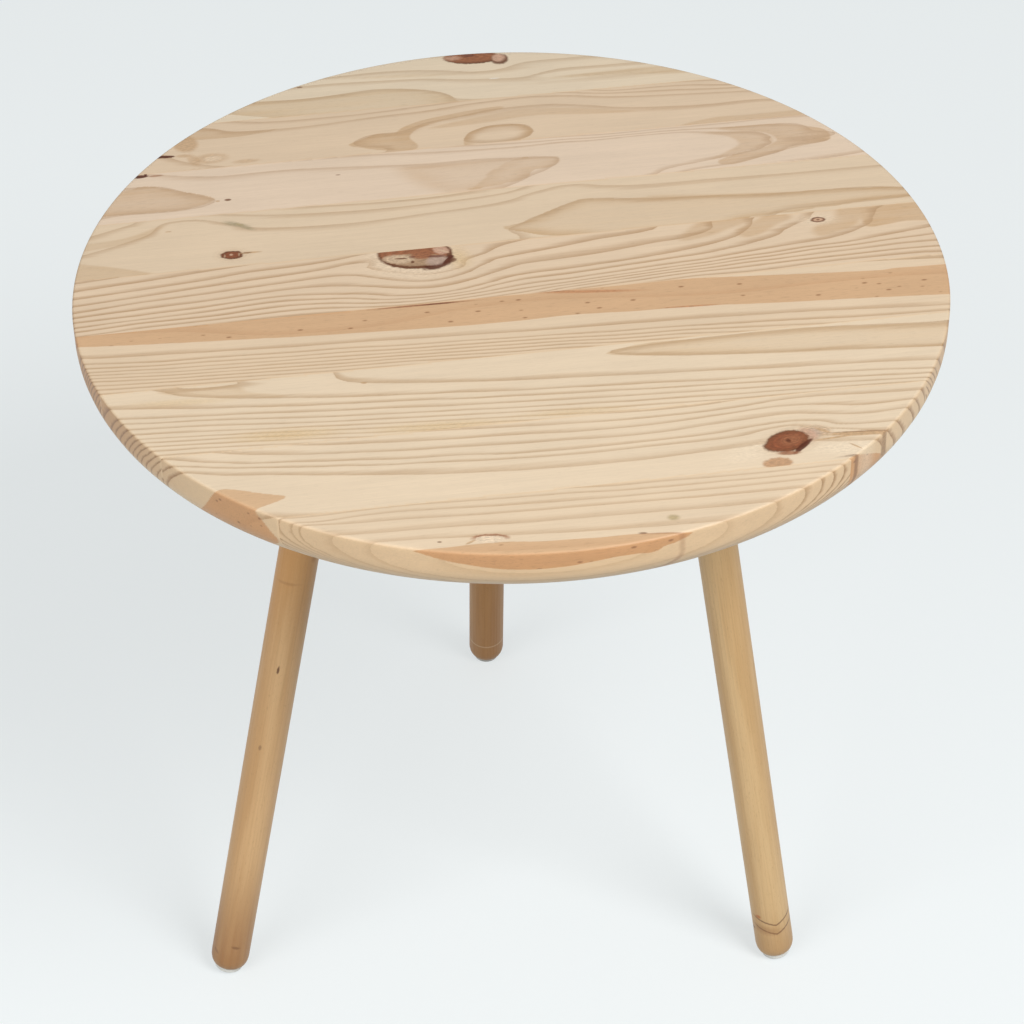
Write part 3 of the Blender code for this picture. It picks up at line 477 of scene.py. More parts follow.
def ring_surface(stave, middle):
    """A function that gives the stave's ring number at points in three dimensions."""
    places = []
    levels = []
    for level, *line in rows(RINGS, stave):
        for place in line:
            along, across = seen(*place)
            places.append((along / MM * ALONG_SHARE, across / MM))
            levels.append(level)
    places = np.array(places)
    weights = spline_weights(places, np.array(levels, float))
    left_lean, right_lean, bend = LEANS.get(stave, (0, 0, 0))
    aside, down, spacing = PITHS.get(stave, (0, 0, math.inf))

    def number(points):
        depth = (TABLE_HEIGHT - points[:, 2]) / MM
        lean = left_lean + (right_lean - left_lean) * (points[:, 0] / TOP_RADIUS + 1) / 2
        back = points[:, 1] / MM - lean * depth * (1 - depth / LEAN_DEPTH)
        back += bend * np.minimum(depth, BEND_DEPTH) ** 3
        where = np.c_[points[:, 0] / MM * ALONG_SHARE, back]
        plane = np.c_[np.ones(len(where)), where]
        level = plate(where, places) @ weights[:-3] + plane @ weights[-3:]
        side = points[:, 1] / MM - middle / MM - aside
        return level + (np.hypot(side, down - depth) - np.hypot(side, down)) / spacing

    return number


def ring_steepness(number, points, normals):
    """How many rings a millimetre of the surface crosses at each point."""
    slope = np.empty_like(points)
    for axis in range(3):
        move = np.zeros(3)
        move[axis] = PROBE
        slope[:, axis] = (number(points + move) - number(points - move)) / (2 * PROBE / MM)
    slope -= (slope * normals).sum(1)[:, None] * normals
    return np.linalg.norm(slope, axis=1)


# Steps between two points of a smoothed outline. Patches end in streaks along the grain, so
# distances that way count for less, and beyond the farthest (mm) they no longer matter.
OUTLINE_STEPS = 6
PATCH_ALONG_SHARE = 0.4
FARTHEST = -20.0


def smooth_outline(points):
    """A closed curve through the outline's points."""
    corners = np.array([seen(x, y) for x, y in points])
    curve = []
    count = len(corners)
    for i in range(count):
        a, b, c, d = (corners[(i + k) % count] for k in (-1, 0, 1, 2))
        for step in range(OUTLINE_STEPS):
            t = step / OUTLINE_STEPS
            curve.append(
                0.5 * (2 * b + (c - a) * t + (2 * a - 5 * b + 4 * c - d) * t**2
                       + (3 * b - 3 * c + d - a) * t**3)
            )
    return np.array(curve)


def inside_distance(points, outline):
    """How far inside a closed outline points lie: negative outside it."""
    ends = np.roll(outline, -1, axis=0)
    edge = ends - outline
    offset = points[:, None] - outline[None]
    share = (offset * edge).sum(-1) / np.maximum((edge**2).sum(-1), 1e-12)
    nearest = offset - np.clip(share, 0, 1)[..., None] * edge
    distance = np.sqrt((nearest**2).sum(-1)).min(1)
    rising = (outline[:, 1] > points[:, 1:2]) != (ends[:, 1] > points[:, 1:2])
    with np.errstate(divide="ignore", invalid="ignore"):
        cross = outline[:, 0] + (points[:, 1:2] - outline[:, 1]) * edge[:, 0] / edge[:, 1]
    inside = (rising & (points[:, :1] < cross)).sum(1) % 2 == 1
    return np.where(inside, distance, -distance)


def seen_on_face(points):
    """Where on the top's face the camera sees points, those on the rim among them."""
    depth = (TABLE_HEIGHT - points[:, 2]) * DEPTH_SEEN
    moved = points.copy()
    moved[:, 0] += depth * math.sin(SEEN_TURN)
    moved[:, 1] -= depth * math.cos(SEEN_TURN)
    return moved


def patch_distances(outlines, points):
    """How far inside the nearest of some outlines points lie, in millimetres."""
    squeeze = (PATCH_ALONG_SHARE, 1.0)
    found = np.full(len(points), FARTHEST)
    for outline in outlines:
        distance = inside_distance(points[:, :2] * squeeze, smooth_outline(outline) * squeeze)
        found = np.maximum(found, distance / MM)
    return found


def tan_patches(stave, points):
    """Distance inside the stave's tan patches, their depth of tone, and their edge's softness."""
    inside = np.full(len(points), FARTHEST)
    tone = np.zeros(len(points))
    softness = np.ones(len(points))
    for edge_tone, core_tone, reach, soft, *outline in rows(TANS, stave):
        distance = patch_distances((outline,), points)
        share = np.clip(distance / reach, 0, 1)
        nearer = distance / soft > inside / softness
        inside = np.where(nearer, distance, inside)
        softness = np.where(nearer, soft, softness)
        depth = edge_tone + (core_tone - edge_tone) * share**2 * (3 - 2 * share)
        tone = np.where(nearer, depth, tone)
    return inside, tone, softness


# The middle part of a noise's range, where most of its values lie
NOISE_SPAN = (0.3, 0.7)


class Graph:
    """Adds linked nodes to one material."""

    def __init__(self, name):
        self.material = bpy.data.materials.new(name)
        self.material.use_nodes = True
        self.tree = self.material.node_tree
        self.shader = self.tree.nodes["Principled BSDF"]

    def put(self, socket, value):
        if isinstance(value, bpy.types.NodeSocket):
            self.tree.links.new(value, socket)
        else:
            socket.default_value = value

    def add(self, kind, inputs=(), output=0, **settings):
        """A new node's output, or all of its outputs where none is asked for."""
        node = self.tree.nodes.new(kind)
        for name, value in settings.items():
            setattr(node, name, value)
        pairs = inputs.items() if isinstance(inputs, dict) else enumerate(inputs)
        for name, value in pairs:
            self.put(node.inputs[name], value)
        return node.outputs if output is None else node.outputs[output]

    def math(self, operation, *values):
        return self.add("ShaderNodeMath", values, operation=operation)

    def times(self, first, *others):
        """The product of values."""
        for other in others:
            first = self.math("MULTIPLY", first, other)
        return first

    def vector(self, operation, *values):
        return self.add("ShaderNodeVectorMath", values, operation=operation)

    def attribute(self, name):
        return self.add("ShaderNodeAttribute", output="Fac", attribute_name=name)

    def place(self):
        return self.add("ShaderNodeTexCoord", output="Object")

    def parts(self, place):
        """The three outputs of a place's X, Y and Z."""
        return self.add("ShaderNodeSeparateXYZ", (place,), None)

    def turned(self, place, angle, axis):
        inputs = {"Vector": place, "Angle": angle}
        return self.add("ShaderNodeVectorRotate", inputs, rotation_type=f"{axis}_AXIS")

    def noise(self, place, scale, detail, roughness=0.5):
        inputs = {"Vector": place, "Scale": scale, "Detail": detail, "Roughness": roughness}
        return self.add("ShaderNodeTexNoise", inputs)

    def grain(self, place, fineness, detail, roughness):
        """Noise with its own fineness, per metre, on each axis."""
        return self.noise(self.vector("MULTIPLY", place, fineness), 1, detail, roughness)

    def span(self, value, low, high, to_low=0.0, to_high=1.0):
        """The value carried smoothly from one range to another and held at its ends."""
        inputs = (value, low, high, to_low, to_high)
        return self.add("ShaderNodeMapRange", inputs, interpolation_type="SMOOTHSTEP")

    def vary(self, noise, low=0.0, high=1.0):
        """A factor that follows a noise from one value to another."""
        return self.span(noise, *NOISE_SPAN, low, high)

    def centred(self, noise, width):
        """The noise as a shift to both sides, so wide in all."""
        return self.math("MULTIPLY_ADD", noise, width, -width / 2)

    def fade(self, distance, width):
        """1 at no distance, falling off over a width."""
        return self.math("EXPONENT", self.math("DIVIDE", distance, -width))

    def gap(self, value, middle):
        return self.math("ABSOLUTE", self.math("SUBTRACT", value, middle))

    def cover(self, reach, soft, strength):
        """The strength of a mark inside a reach of 1, with a soft edge."""
        return self.span(reach, 1.0 - soft, 1.0 + soft, strength, 0.0)

    def mix(self, factor, first, second, blend="MIX"):
        inputs = {0: factor, 6: first, 7: second}
        return self.add("ShaderNodeMix", inputs, 2, data_type="RGBA", blend_type=blend)

    def finish(self, colour, roughness, height, bump, depth):
        self.put(self.shader.inputs["Base Color"], colour)
        self.put(self.shader.inputs["Roughness"], roughness)
        inputs = {"Height": height, "Strength": bump, "Distance": depth}
        self.put(self.shader.inputs["Normal"], self.add("ShaderNodeBump", inputs))
        return self.material


# Wood colours, the tints of the rim and of its cut ends, and the paints of the marks
EARLYWOOD = rgb(231, 208, 179)
LATEWOOD = rgb(190, 156, 119)
END_LATEWOOD = rgb(158, 118, 78)
TAN_WOOD = rgb(206, 172, 131)
HEARTWOOD = rgb(216, 178, 139)
RIM_HEARTWOOD = rgb(212, 168, 128)
HEART_LATEWOOD = rgb(190, 142, 102)
RESIN = rgb(146, 98, 62)
RIM_TINT = (1.0, 0.90, 0.77, 1.0)
END_TINT = (0.76, 0.62, 0.50, 1.0)
PAINTS = {
    "early": EARLYWOOD,
    "tan": rgb(196, 160, 120),
    "heart_late": rgb(188, 142, 102),
    "sapwood": rgb(241, 222, 194),
    "gold": rgb(214, 182, 130),
    "flame": rgb(190, 130, 88),
    "resin": rgb(116, 70, 38),
    "dark": rgb(88, 36, 6),
    "shade": rgb(112, 62, 44),
    "edge": rgb(110, 67, 38),
    "red": rgb(158, 100, 66),
    "brick": rgb(144, 82, 50),
    "grey": rgb(178, 146, 114),
    "ash": rgb(184, 158, 142),
    "pale": rgb(206, 168, 138),
    "cream": rgb(212, 184, 152),
    "pink": rgb(204, 164, 138),
    "smudge": rgb(164, 150, 118),
    "smudge_brown": rgb(170, 150, 104),
    "white": rgb(248, 246, 240),
}

# Each stave's own cast against the first colours, and how strongly its rings show
STAVES = {
    1: ((1.0, 1.0, 0.98), 0.62),
    2: ((1.02, 1.04, 1.04), 0.78),
    3: ((1.02, 1.04, 1.04), 0.82),
    4: ((0.985, 0.97, 0.94), 0.80),
    5: ((0.98, 0.957, 0.935), 0.95),
    6: ((0.967, 0.963, 0.944), 0.64),
    7: ((1.0, 1.0, 1.045), 0.62),
    8: ((0.957, 0.935, 0.914), 0.64),
    9: ((1.0, 1.045, 1.067), 0.64),
}

# The pine's noises: fineness along and across the grain (per metre), detail, roughness
PINE_GRAIN = {
    "fibre": (22, 1300, 3, 0.65),
    "streak": (7, 260, 2, 0.5),
    "cloud": (12, 34, 3, 0.55),
    "wobble": (16, 70, 2, 0.5),
    "fleck": (120, 1500, 2, 0.6),
}

# How far the noises vary the tone of the wood and the strength of the tan patches
WOOD_VARIES = {"cloud": (0.975, 1.015), "fibre": (0.965, 1.025), "streak": (0.98, 1.012)}
TAN_VARIES = {"streak": (0.78, 1.1), "cloud": (0.8, 1.15)}

# Latewood: its share of a ring, least and greatest width (mm), how that varies, how much
# narrower it is on the rim, and over which share of its width it darkens
LATE_SHARE = 0.50
LATE_WIDTH = (1.3, 7.0)
WIDTH_VARIES = (0.75, 1.3)
RIM_NARROWER = 0.20
DARKENING = (0.08, 1.0)

# The ring's dark end and its step back to light: widths (mm) and weights. The fewest rings a
# millimetre, and how far their lines sway and fray (mm)
LINE_WIDTH = 0.55
LINE_WEIGHT = 0.28
STEP_WIDTH = 0.30
STEP_WEIGHT = 0.8
LEAST_STEEPNESS = 0.012
RING_SWAY = 1.5
RING_FRAY = 1.0

# Strength of the latewood: a range of the streaks, and the strengths that it is carried to; on
# the rim, a range from along the grain to across it, and the strengths there
STREAKED = (0.25, 0.75, 0.78, 1.12)
ON_RIM = (0.45, 0.75, 0.28, 0.95)

# Edges of tan patches and heartwood (mm inside), how far they fray, how much of the latewood
# shows in the heartwood, and from where on the rim the tint of the cut ends sets in
TAN_EDGE = (-0.5, 0.5)
HEART_EDGE = (-0.2, 0.4)
PATCH_FRAY = 1.6
HEART_LATE_SHARE = 0.35
END_SPAN = (0.76, 0.97)

# Dark flecks: the part of their noise that shows, and their strength in pale and in rich wood
FLECK_SPAN = (0.55, 0.68)
RICH_SPAN = (0.0, 0.7, 0.05, 0.13)

# Resin dots in the heartwood: fineness along and across the grain; sizes of core and edge in
# cells, and strengths there
DOT_FINENESS = (62, 130, 130)
DOTS = (0.05, 0.17, 0.75, 0.0)

# The lacquer's roughness over earlywood and latewood, and the strength and depth of its grain
PINE_ROUGHNESS = (0.46, 0.40)
PINE_BUMP = (0.06, 0.0001)


def latewood(graph, grain, strength):
    """How dark the wood is by its rings: growing darker to each ring's end, then light at once."""
    side = graph.attribute("side")
    steepness = graph.math("MAXIMUM", graph.attribute("steepness"), LEAST_STEEPNESS)
    sway = graph.centred(grain["wobble"], RING_SWAY)
    sway = graph.math("ADD", sway, graph.centred(grain["fibre"], RING_FRAY))
    number = graph.math("MULTIPLY_ADD", sway, steepness, graph.attribute("rings"))
    share = graph.math("FRACT", number)
    before = graph.math("DIVIDE", graph.math("SUBTRACT", 1.0, share), steepness)
    after = graph.math("DIVIDE", share, steepness)
    width = graph.math("DIVIDE", LATE_SHARE, steepness)
    width = graph.math("MINIMUM", graph.math("MAXIMUM", width, LATE_WIDTH[0]), LATE_WIDTH[1])
    narrower = graph.math("MULTIPLY_ADD", side, -RIM_NARROWER, 1.0)
    width = graph.times(width, graph.vary(grain["streak"], *WIDTH_VARIES), narrower)
    shade = graph.span(graph.math("DIVIDE", before, width), *DARKENING, 1.0, 0.0)
    line = graph.fade(before, LINE_WIDTH)
    late = graph.math("MULTIPLY_ADD", line, LINE_WEIGHT, graph.times(shade, 1 - LINE_WEIGHT))
    step = graph.times(graph.fade(after, STEP_WIDTH), STEP_WEIGHT)
    late = graph.math("MAXIMUM", late, step)
    late = graph.times(late, graph.span(grain["streak"], *STREAKED))
    on_rim = graph.span(graph.attribute("cut_across"), *ON_RIM)
    extra = graph.math("SUBTRACT", on_rim, strength)
    return graph.times(late, graph.math("MULTIPLY_ADD", extra, side, strength))


def pine_colour(graph, place, grain, cast, strength):
    """Earlywood and latewood by the stave's rings, with tan patches and heartwood over them."""
    side = graph.attribute("side")
    late = latewood(graph, grain, strength)
    fray = graph.centred(grain["fibre"], PATCH_FRAY)
    inside = graph.math("ADD", graph.attribute("tan"), fray)
    inside = graph.math("DIVIDE", inside, graph.attribute("tan_soft"))
    tan = graph.times(graph.span(inside, *TAN_EDGE), graph.attribute("tan_tone"))
    for name, gains in TAN_VARIES.items():
        tan = graph.times(tan, graph.vary(grain[name], *gains))
    heart = graph.span(graph.math("ADD", graph.attribute("heart"), fray), *HEART_EDGE)
    early = graph.mix(tan, EARLYWOOD, TAN_WOOD)
    early = graph.mix(heart, early, graph.mix(side, HEARTWOOD, RIM_HEARTWOOD))
    dark = graph.mix(graph.attribute("cut_across"), LATEWOOD, END_LATEWOOD)
    dark = graph.mix(heart, dark, HEART_LATEWOOD)
    late = graph.times(late, graph.span(heart, 0.0, 1.0, 1.0, HEART_LATE_SHARE))
    colour = graph.mix(late, early, dark)
    colour = graph.mix(side, colour, RIM_TINT, "MULTIPLY")
    end = graph.span(graph.attribute("end"), *END_SPAN)
    colour = graph.mix(end, colour, END_TINT, "MULTIPLY")
    tone = graph.times(*(graph.vary(grain[name], *gains) for name, gains in WOOD_VARIES.items()))
    rich = graph.math("MAXIMUM", graph.math("MAXIMUM", tan, heart), late)
    dip = graph.times(graph.span(grain["fleck"], *FLECK_SPAN), graph.span(rich, *RICH_SPAN))
    tone = graph.times(tone, graph.math("SUBTRACT", 1.0, dip))
    tint = graph.add("ShaderNodeCombineColor", [graph.times(tone, share) for share in cast])
    colour = graph.mix(1.0, colour, tint, "MULTIPLY")
    cells = {"Vector": graph.vector("MULTIPLY", place, DOT_FINENESS), "Scale": 1.0}
    dots = graph.add("ShaderNodeTexVoronoi", cells)
    dot = graph.times(graph.span(dots, *DOTS), heart)
    return graph.mix(dot, colour, RESIN), late


# How far the marks' edges stray (mm), at most what share of a mark, how deep the marks reach
# behind the front staves (mm), how they are mottled, and which paints show rings, how many and
# how strongly
MARK_RAGGED = 2.4
MOST_RAGGED = 0.5
MARK_DEPTH = 22.0
THROUGH_MARKED = (1, 2)
MOTTLED = (0.8, 1.2)
RINGED = ("red", "brick", "grey", "cream")
RING_WAVES = 20.0
RING_TONES = (0.10, 0.95)


def paint_marks(graph, colour, place, stave):
    """Paints soft-edged ovals over the colour, in the order given."""
    rough = graph.noise(place, 320, 3, 0.6)
    mottle = graph.grain(place, (300, 900, 900), 3, 0.65)
    down = 0 if stave in THROUGH_MARKED else 1 / (MARK_DEPTH * MM)
    for x, y, half_x, half_y, turn, paint, strength, soft in rows(MARKS, stave):
        local = graph.vector("SUBTRACT", place, (*seen(x, y), TABLE_HEIGHT))
        local = graph.turned(local, -(math.radians(turn) + SEEN_TURN), "Z")
        local = graph.vector("MULTIPLY", local, (1 / (half_x * MM), 1 / (half_y * MM), down))
        reach = graph.add("ShaderNodeVectorMath", (local,), "Value", operation="LENGTH")
        ragged = min(MOST_RAGGED, MARK_RAGGED / half_y)
        reach = graph.math("ADD", reach, graph.centred(rough, ragged))
        tone = graph.vary(mottle, *MOTTLED)
        if paint in RINGED:
            wave = graph.math("SINE", graph.times(reach, RING_WAVES))
            tone = graph.times(tone, graph.math("MULTIPLY_ADD", wave, *RING_TONES))
        inputs = {0: PAINTS[paint][:3], 3: tone}
        shaded = graph.add("ShaderNodeVectorMath", inputs, operation="SCALE")
        colour = graph.mix(graph.cover(reach, soft, strength), colour, shaded)
    return colour


def pine_material(stave):
    graph = Graph(f"pine_stave_{stave}")
    place = graph.place()
    grain = {
        name: graph.grain(place, (along, across, across), detail, roughness)
        for name, (along, across, detail, roughness) in PINE_GRAIN.items()
    }
    colour, late = pine_colour(graph, place, grain, *STAVES[stave])
    colour = paint_marks(graph, colour, place, stave)
    roughness = graph.span(late, 0.0, 1.0, *PINE_ROUGHNESS)
    return graph.finish(colour, roughness, grain["fibre"], *PINE_BUMP)


def edge_profile():
    """Radius and height of the rim's rings, from the face's edge down to the underside's."""
    rings = []
    for step in range(1, UPPER_EDGE_STEPS + 1):
        angle = math.pi / 2 * step / UPPER_EDGE_STEPS
        inward = UPPER_EDGE_RADIUS * (1 - math.sin(angle))
        rings.append((TOP_RADIUS - inward, TABLE_HEIGHT - UPPER_EDGE_RADIUS * (1 - math.cos(angle))))
    side_top = TABLE_HEIGHT - UPPER_EDGE_RADIUS
    side_foot = UNDERSIDE + LOWER_EDGE_RADIUS
    for step in range(1, SIDE_STEPS):
        rings.append((TOP_RADIUS, side_top + (side_foot - side_top) * step / SIDE_STEPS))
    for step in range(LOWER_EDGE_STEPS + 1):
        angle = math.pi / 2 * step / LOWER_EDGE_STEPS
        inward = LOWER_EDGE_RADIUS * (1 - math.cos(angle))
        rings.append((TOP_RADIUS - inward, UNDERSIDE + LOWER_EDGE_RADIUS * (1 - math.sin(angle))))
    return rings


def disc_mesh():
    """The whole top as one fine closed mesh: a grid drawn out into a circle, and a round edge."""
    shape = bmesh.new()
    bmesh.ops.create_grid(shape, x_segments=TOP_CELLS, y_segments=TOP_CELLS, size=1.0)
    flat_radius = TOP_RADIUS - UPPER_EDGE_RADIUS
    for vertex in shape.verts:
        u, v = vertex.co.x, vertex.co.y
        vertex.co = (
            flat_radius * u * math.sqrt(1 - v * v / 2),
            flat_radius * v * math.sqrt(1 - u * u / 2),
            TABLE_HEIGHT,
        )
    lower = shape.copy()
    rim = [edge for edge in shape.edges if edge.is_boundary]
    for radius, height in edge_profile():
        made = bmesh.ops.extrude_edge_only(shape, edges=rim)["geom"]
        rim = [item for item in made if isinstance(item, bmesh.types.BMEdge) and item.is_boundary]
        for vertex in {end for edge in rim for end in edge.verts}:
            out = math.hypot(vertex.co.x, vertex.co.y)
            vertex.co = (vertex.co.x * radius / out, vertex.co.y * radius / out, height)
    share = (TOP_RADIUS - LOWER_EDGE_RADIUS) / flat_radius
    for vertex in lower.verts:
        vertex.co = (vertex.co.x * share, vertex.co.y * share, UNDERSIDE)
    bmesh.ops.reverse_faces(lower, faces=lower.faces)
    spare = bpy.data.meshes.new("lower_face")
    lower.to_mesh(spare)
    shape.from_mesh(spare)
    bmesh.ops.remove_doubles(shape, verts=shape.verts, dist=1e-5)
    bmesh.ops.recalc_face_normals(shape, faces=shape.faces)
    lower.free()
    bpy.data.meshes.remove(spare)
    return shape


def cut(shape, across, keep_behind):
    """Cuts a closed shape at one glue line and closes the cut."""
    made = bmesh.ops.bisect_plane(
        shape,
        geom=shape.verts[:] + shape.edges[:] + shape.faces[:],
        dist=1e-7,
        plane_co=(0, across, 0),
        plane_no=(0, 1, 0),
        clear_inner=keep_behind,
        clear_outer=not keep_behind,
    )
    edges = [item for item in made["geom_cut"] if isinstance(item, bmesh.types.BMEdge)]
    bmesh.ops.contextual_create(shape, geom=edges)


# On the right the cut ends of the rim show bolder rings than on the left and a paler tint, as in
# the photograph; the left ends' extra darkness is painted shade, that side being away from the light
RIGHT_BOLDER = 1.3
RIGHT_PALER = 0.95


def stave_values(stave, middle, points, normals):
    """What the stave's material needs to know at every point of its surface."""
    number = ring_surface(stave, middle)
    on_face = seen_on_face(points)
    tan, tan_tone, tan_soft = tan_patches(stave, on_face)
    facing = normals[:, 0]
    return {
        "rings": number(points),
        "steepness": ring_steepness(number, points, normals),
        "heart": patch_distances(rows(HEARTS, stave), on_face),
        "tan": tan,
        "tan_tone": tan_tone,
        "tan_soft": tan_soft,
        "side": 1 - normals[:, 2] ** 2,
        # The cut ends' tint, a little weaker on the right: the left's extra darkness is painted shade.
        "end": np.maximum(-facing, facing * RIGHT_PALER),
        "cut_across": np.clip(facing * RIGHT_BOLDER, np.abs(facing), 1),
    }


def vectors(mesh, kind):
    """The places or the normals of a mesh's points, a row each."""
    found = np.empty(len(mesh.vertices) * 3)
    mesh.vertices.foreach_get(kind, found)
    return found.reshape(-1, 3)


def make_staves():
    """The nine staves, cut from one disc, in place of the top's solids."""
    whole = disc_mesh()
    lines = [share * TOP_RADIUS for share in GLUE_LINE_SHARES]
    for stave, (front, back) in enumerate(zip([None] + lines, lines + [None]), start=1):
        shape = whole.copy()
        if front is not None:
            cut(shape, front, True)
        if back is not None:
            cut(shape, back, False)
        bmesh.ops.recalc_face_normals(shape, faces=shape.faces)
        name = f"pine_stave_{stave}"
        mesh = bpy.data.meshes.new(name)
        shape.to_mesh(mesh)
        shape.free()
        mesh.shade_smooth()
        mesh.set_sharp_from_angle(angle=SHARP_ANGLE)
        low = -TOP_RADIUS if front is None else front
        high = TOP_RADIUS if back is None else back
        values = stave_values(
            stave, (low + high) / 2, vectors(mesh, "co"), vectors(mesh, "normal")
        )
        for attribute, numbers in values.items():
            data = mesh.attributes.new(attribute, "FLOAT", "POINT").data
            data.foreach_set("value", numbers.astype(np.float32))
        piece = bpy.data.objects.new(name, mesh)
        bpy.context.scene.collection.objects.link(piece)
        mesh.materials.append(pine_material(stave))
        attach(piece, "root")
        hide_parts(f"top_stave_{stave}")
    whole.free()


# Beech: the dowel's darker and paler wood, its fibres and flecks, and for those two the part of
# their noise that shows and its strengths; roughness, and the strength and depth of the grain
BEECH_DARK = rgb(212, 170, 120)
BEECH_PALE = rgb(228, 190, 142)
BEECH_FIBRE = rgb(180, 138, 92)
BEECH_FLECK = rgb(160, 118, 76)
FIBRES = (0.4, 0.75, 0.0, 0.22)
FLECKS = (0.62, 0.74, 0.0, 0.20)
BEECH_ROUGHNESS = (0.40, 0.47)
BEECH_BUMP = (0.05, 0.0001)
LEG_PAINTS = {
    "bark": rgb(104, 62, 32),
    "rust": rgb(186, 110, 52),
    "foot": rgb(164, 116, 70),
    "pale": rgb(214, 184, 146),
    # Painted warm shade, for the top of a leg under the table top
    "warm_shade": rgb(202, 142, 72),
}

# Each leg's tone, the rear's being painted shade, and the height (m) and strength of its worn foot
LEG_TONES_SHADE_AND_WEAR = {
    "rear": ((0.82, 0.73, 0.58), 0.055, 0.55),
    "left": ((0.985, 0.965, 0.935), 0.130, 1.0),
    "right": ((0.985, 0.995, 0.975), 0.055, 0.55),
}

# Marks on the legs: mm above the foot's end, bearing round the leg (degrees, 0 away from the
# table's middle), half sizes along and across (mm), turn (degrees), paint, strength, softness
LEG_MARKS = {
    "left": (
        (291, 57, 3.2, 0.9, -38, "bark", 0.9, 0.4),
        (219, 43, 2.2, 1.2, -10, "bark", 0.45, 0.5),
        (366, 40, 1.2, 8, -6, "bark", 0.3, 0.6),
        (16, 10, 1.6, 2.6, 20, "bark", 0.4, 0.6),
        (25, 73, 1.3, 3.2, 10, "bark", 0.5, 0.5),
        (10, 50, 6, 12, 0, "foot", 0.35, 0.8),
        (388, 110, 3, 2, 0, "bark", 0.4, 0.6),
        # Painted warm shade at the top of the left leg, under the table top
        (400, 57, 60, 60, 0, "warm_shade", 0.55, 0.9),
    ),
    "right": (
        (42, -101, 1.6, 2.4, 0, "rust", 0.8, 0.4),
        (27, -132, 1.2, 2.2, 0, "bark", 0.8, 0.4),
        (29, -80, 4, 11, 10, "foot", 0.45, 0.6),
    ),
    "rear": (
        (44, 176, 26, 14, 0, "foot", 0.2, 0.9),
    ),
}

# Chevrons where a branch's grain meets the right foot: heights above its end at their lowest
# (mm), where round the leg they point down (degrees), rise, how far they stray, how far round
# they fade out (m); distances from a line's middle and strengths there
CHEVRONS = (33.4, 24.4)
CHEVRON_BEARING = -47
CHEVRON_RISE = 0.42
CHEVRON_RAGGED = 0.002
CHEVRON_ENDS = (0.014, 0.022, 1.0, 0.0)
CHEVRON_LINE = (0.0004, 0.0011, 0.7, 0.0)

# A pale line round the rear foot: metres above its end, and the same again
REAR_LINE_HEIGHT = 0.0215
REAR_LINE = (0.0004, 0.0010, 0.6, 0.0)

# How far the edges of the legs' marks stray, as a share of a mark
LEG_RAGGED = 0.6


def leg_place(graph, bearing, splay):
    """The place measured from the foot's end of a leg, with Z up along the leg."""
    foot_radius = GLIDE_FACE_RADIUS * math.sin(splay) - GLIDE_WEAR
    length = (UNDERSIDE - foot_radius) / math.cos(splay) - GLIDE_HEIGHT
    reach = LEG_CIRCLE_RADIUS + length * math.sin(splay)
    foot = (
        reach * math.cos(bearing),
        reach * math.sin(bearing),
        UNDERSIDE - length * math.cos(splay),
    )
    local = graph.vector("SUBTRACT", graph.place(), foot)
    return graph.turned(graph.turned(local, -bearing, "Z"), splay, "Y")


def paint_chevrons(graph, colour, angle, height, rough):
    """Paints two folded lines on one side of a leg."""
    arc = graph.times(graph.math("SUBTRACT", angle, math.radians(CHEVRON_BEARING)), LEG_RADIUS)
    away = graph.math("ABSOLUTE", arc)
    fold = graph.math("ADD", away, graph.times(rough, CHEVRON_RAGGED))
    rise = graph.math("MULTIPLY_ADD", fold, -CHEVRON_RISE, height)
    ends = graph.span(away, *CHEVRON_ENDS)
    for low in CHEVRONS:
        cover = graph.times(graph.span(graph.gap(rise, low * MM), *CHEVRON_LINE), ends)
        colour = graph.mix(cover, colour, LEG_PAINTS["bark"])
    return colour


def paint_leg_marks(graph, colour, marks, angle, height, rough):
    """Paints soft-edged ovals round a leg, in the order given."""
    for up, around, half_up, half_across, turn, paint, strength, soft in marks:
        away = graph.math("SUBTRACT", angle, math.radians(around))
        away = graph.math("WRAP", away, math.pi, -math.pi)
        across = graph.times(away, LEG_RADIUS / (half_across * MM))
        along = graph.times(graph.math("SUBTRACT", height, up * MM), 1 / (half_up * MM))
        lean = math.tan(math.radians(turn)) * LEG_RADIUS / (half_up * MM)
        along = graph.math("MULTIPLY_ADD", away, lean, along)
        squares = graph.math("MULTIPLY_ADD", across, across, graph.times(along, along))
        reach = graph.math("ADD", graph.math("SQRT", squares), graph.centred(rough, LEG_RAGGED))
        colour = graph.mix(graph.cover(reach, soft, strength), colour, LEG_PAINTS[paint])
    return colour


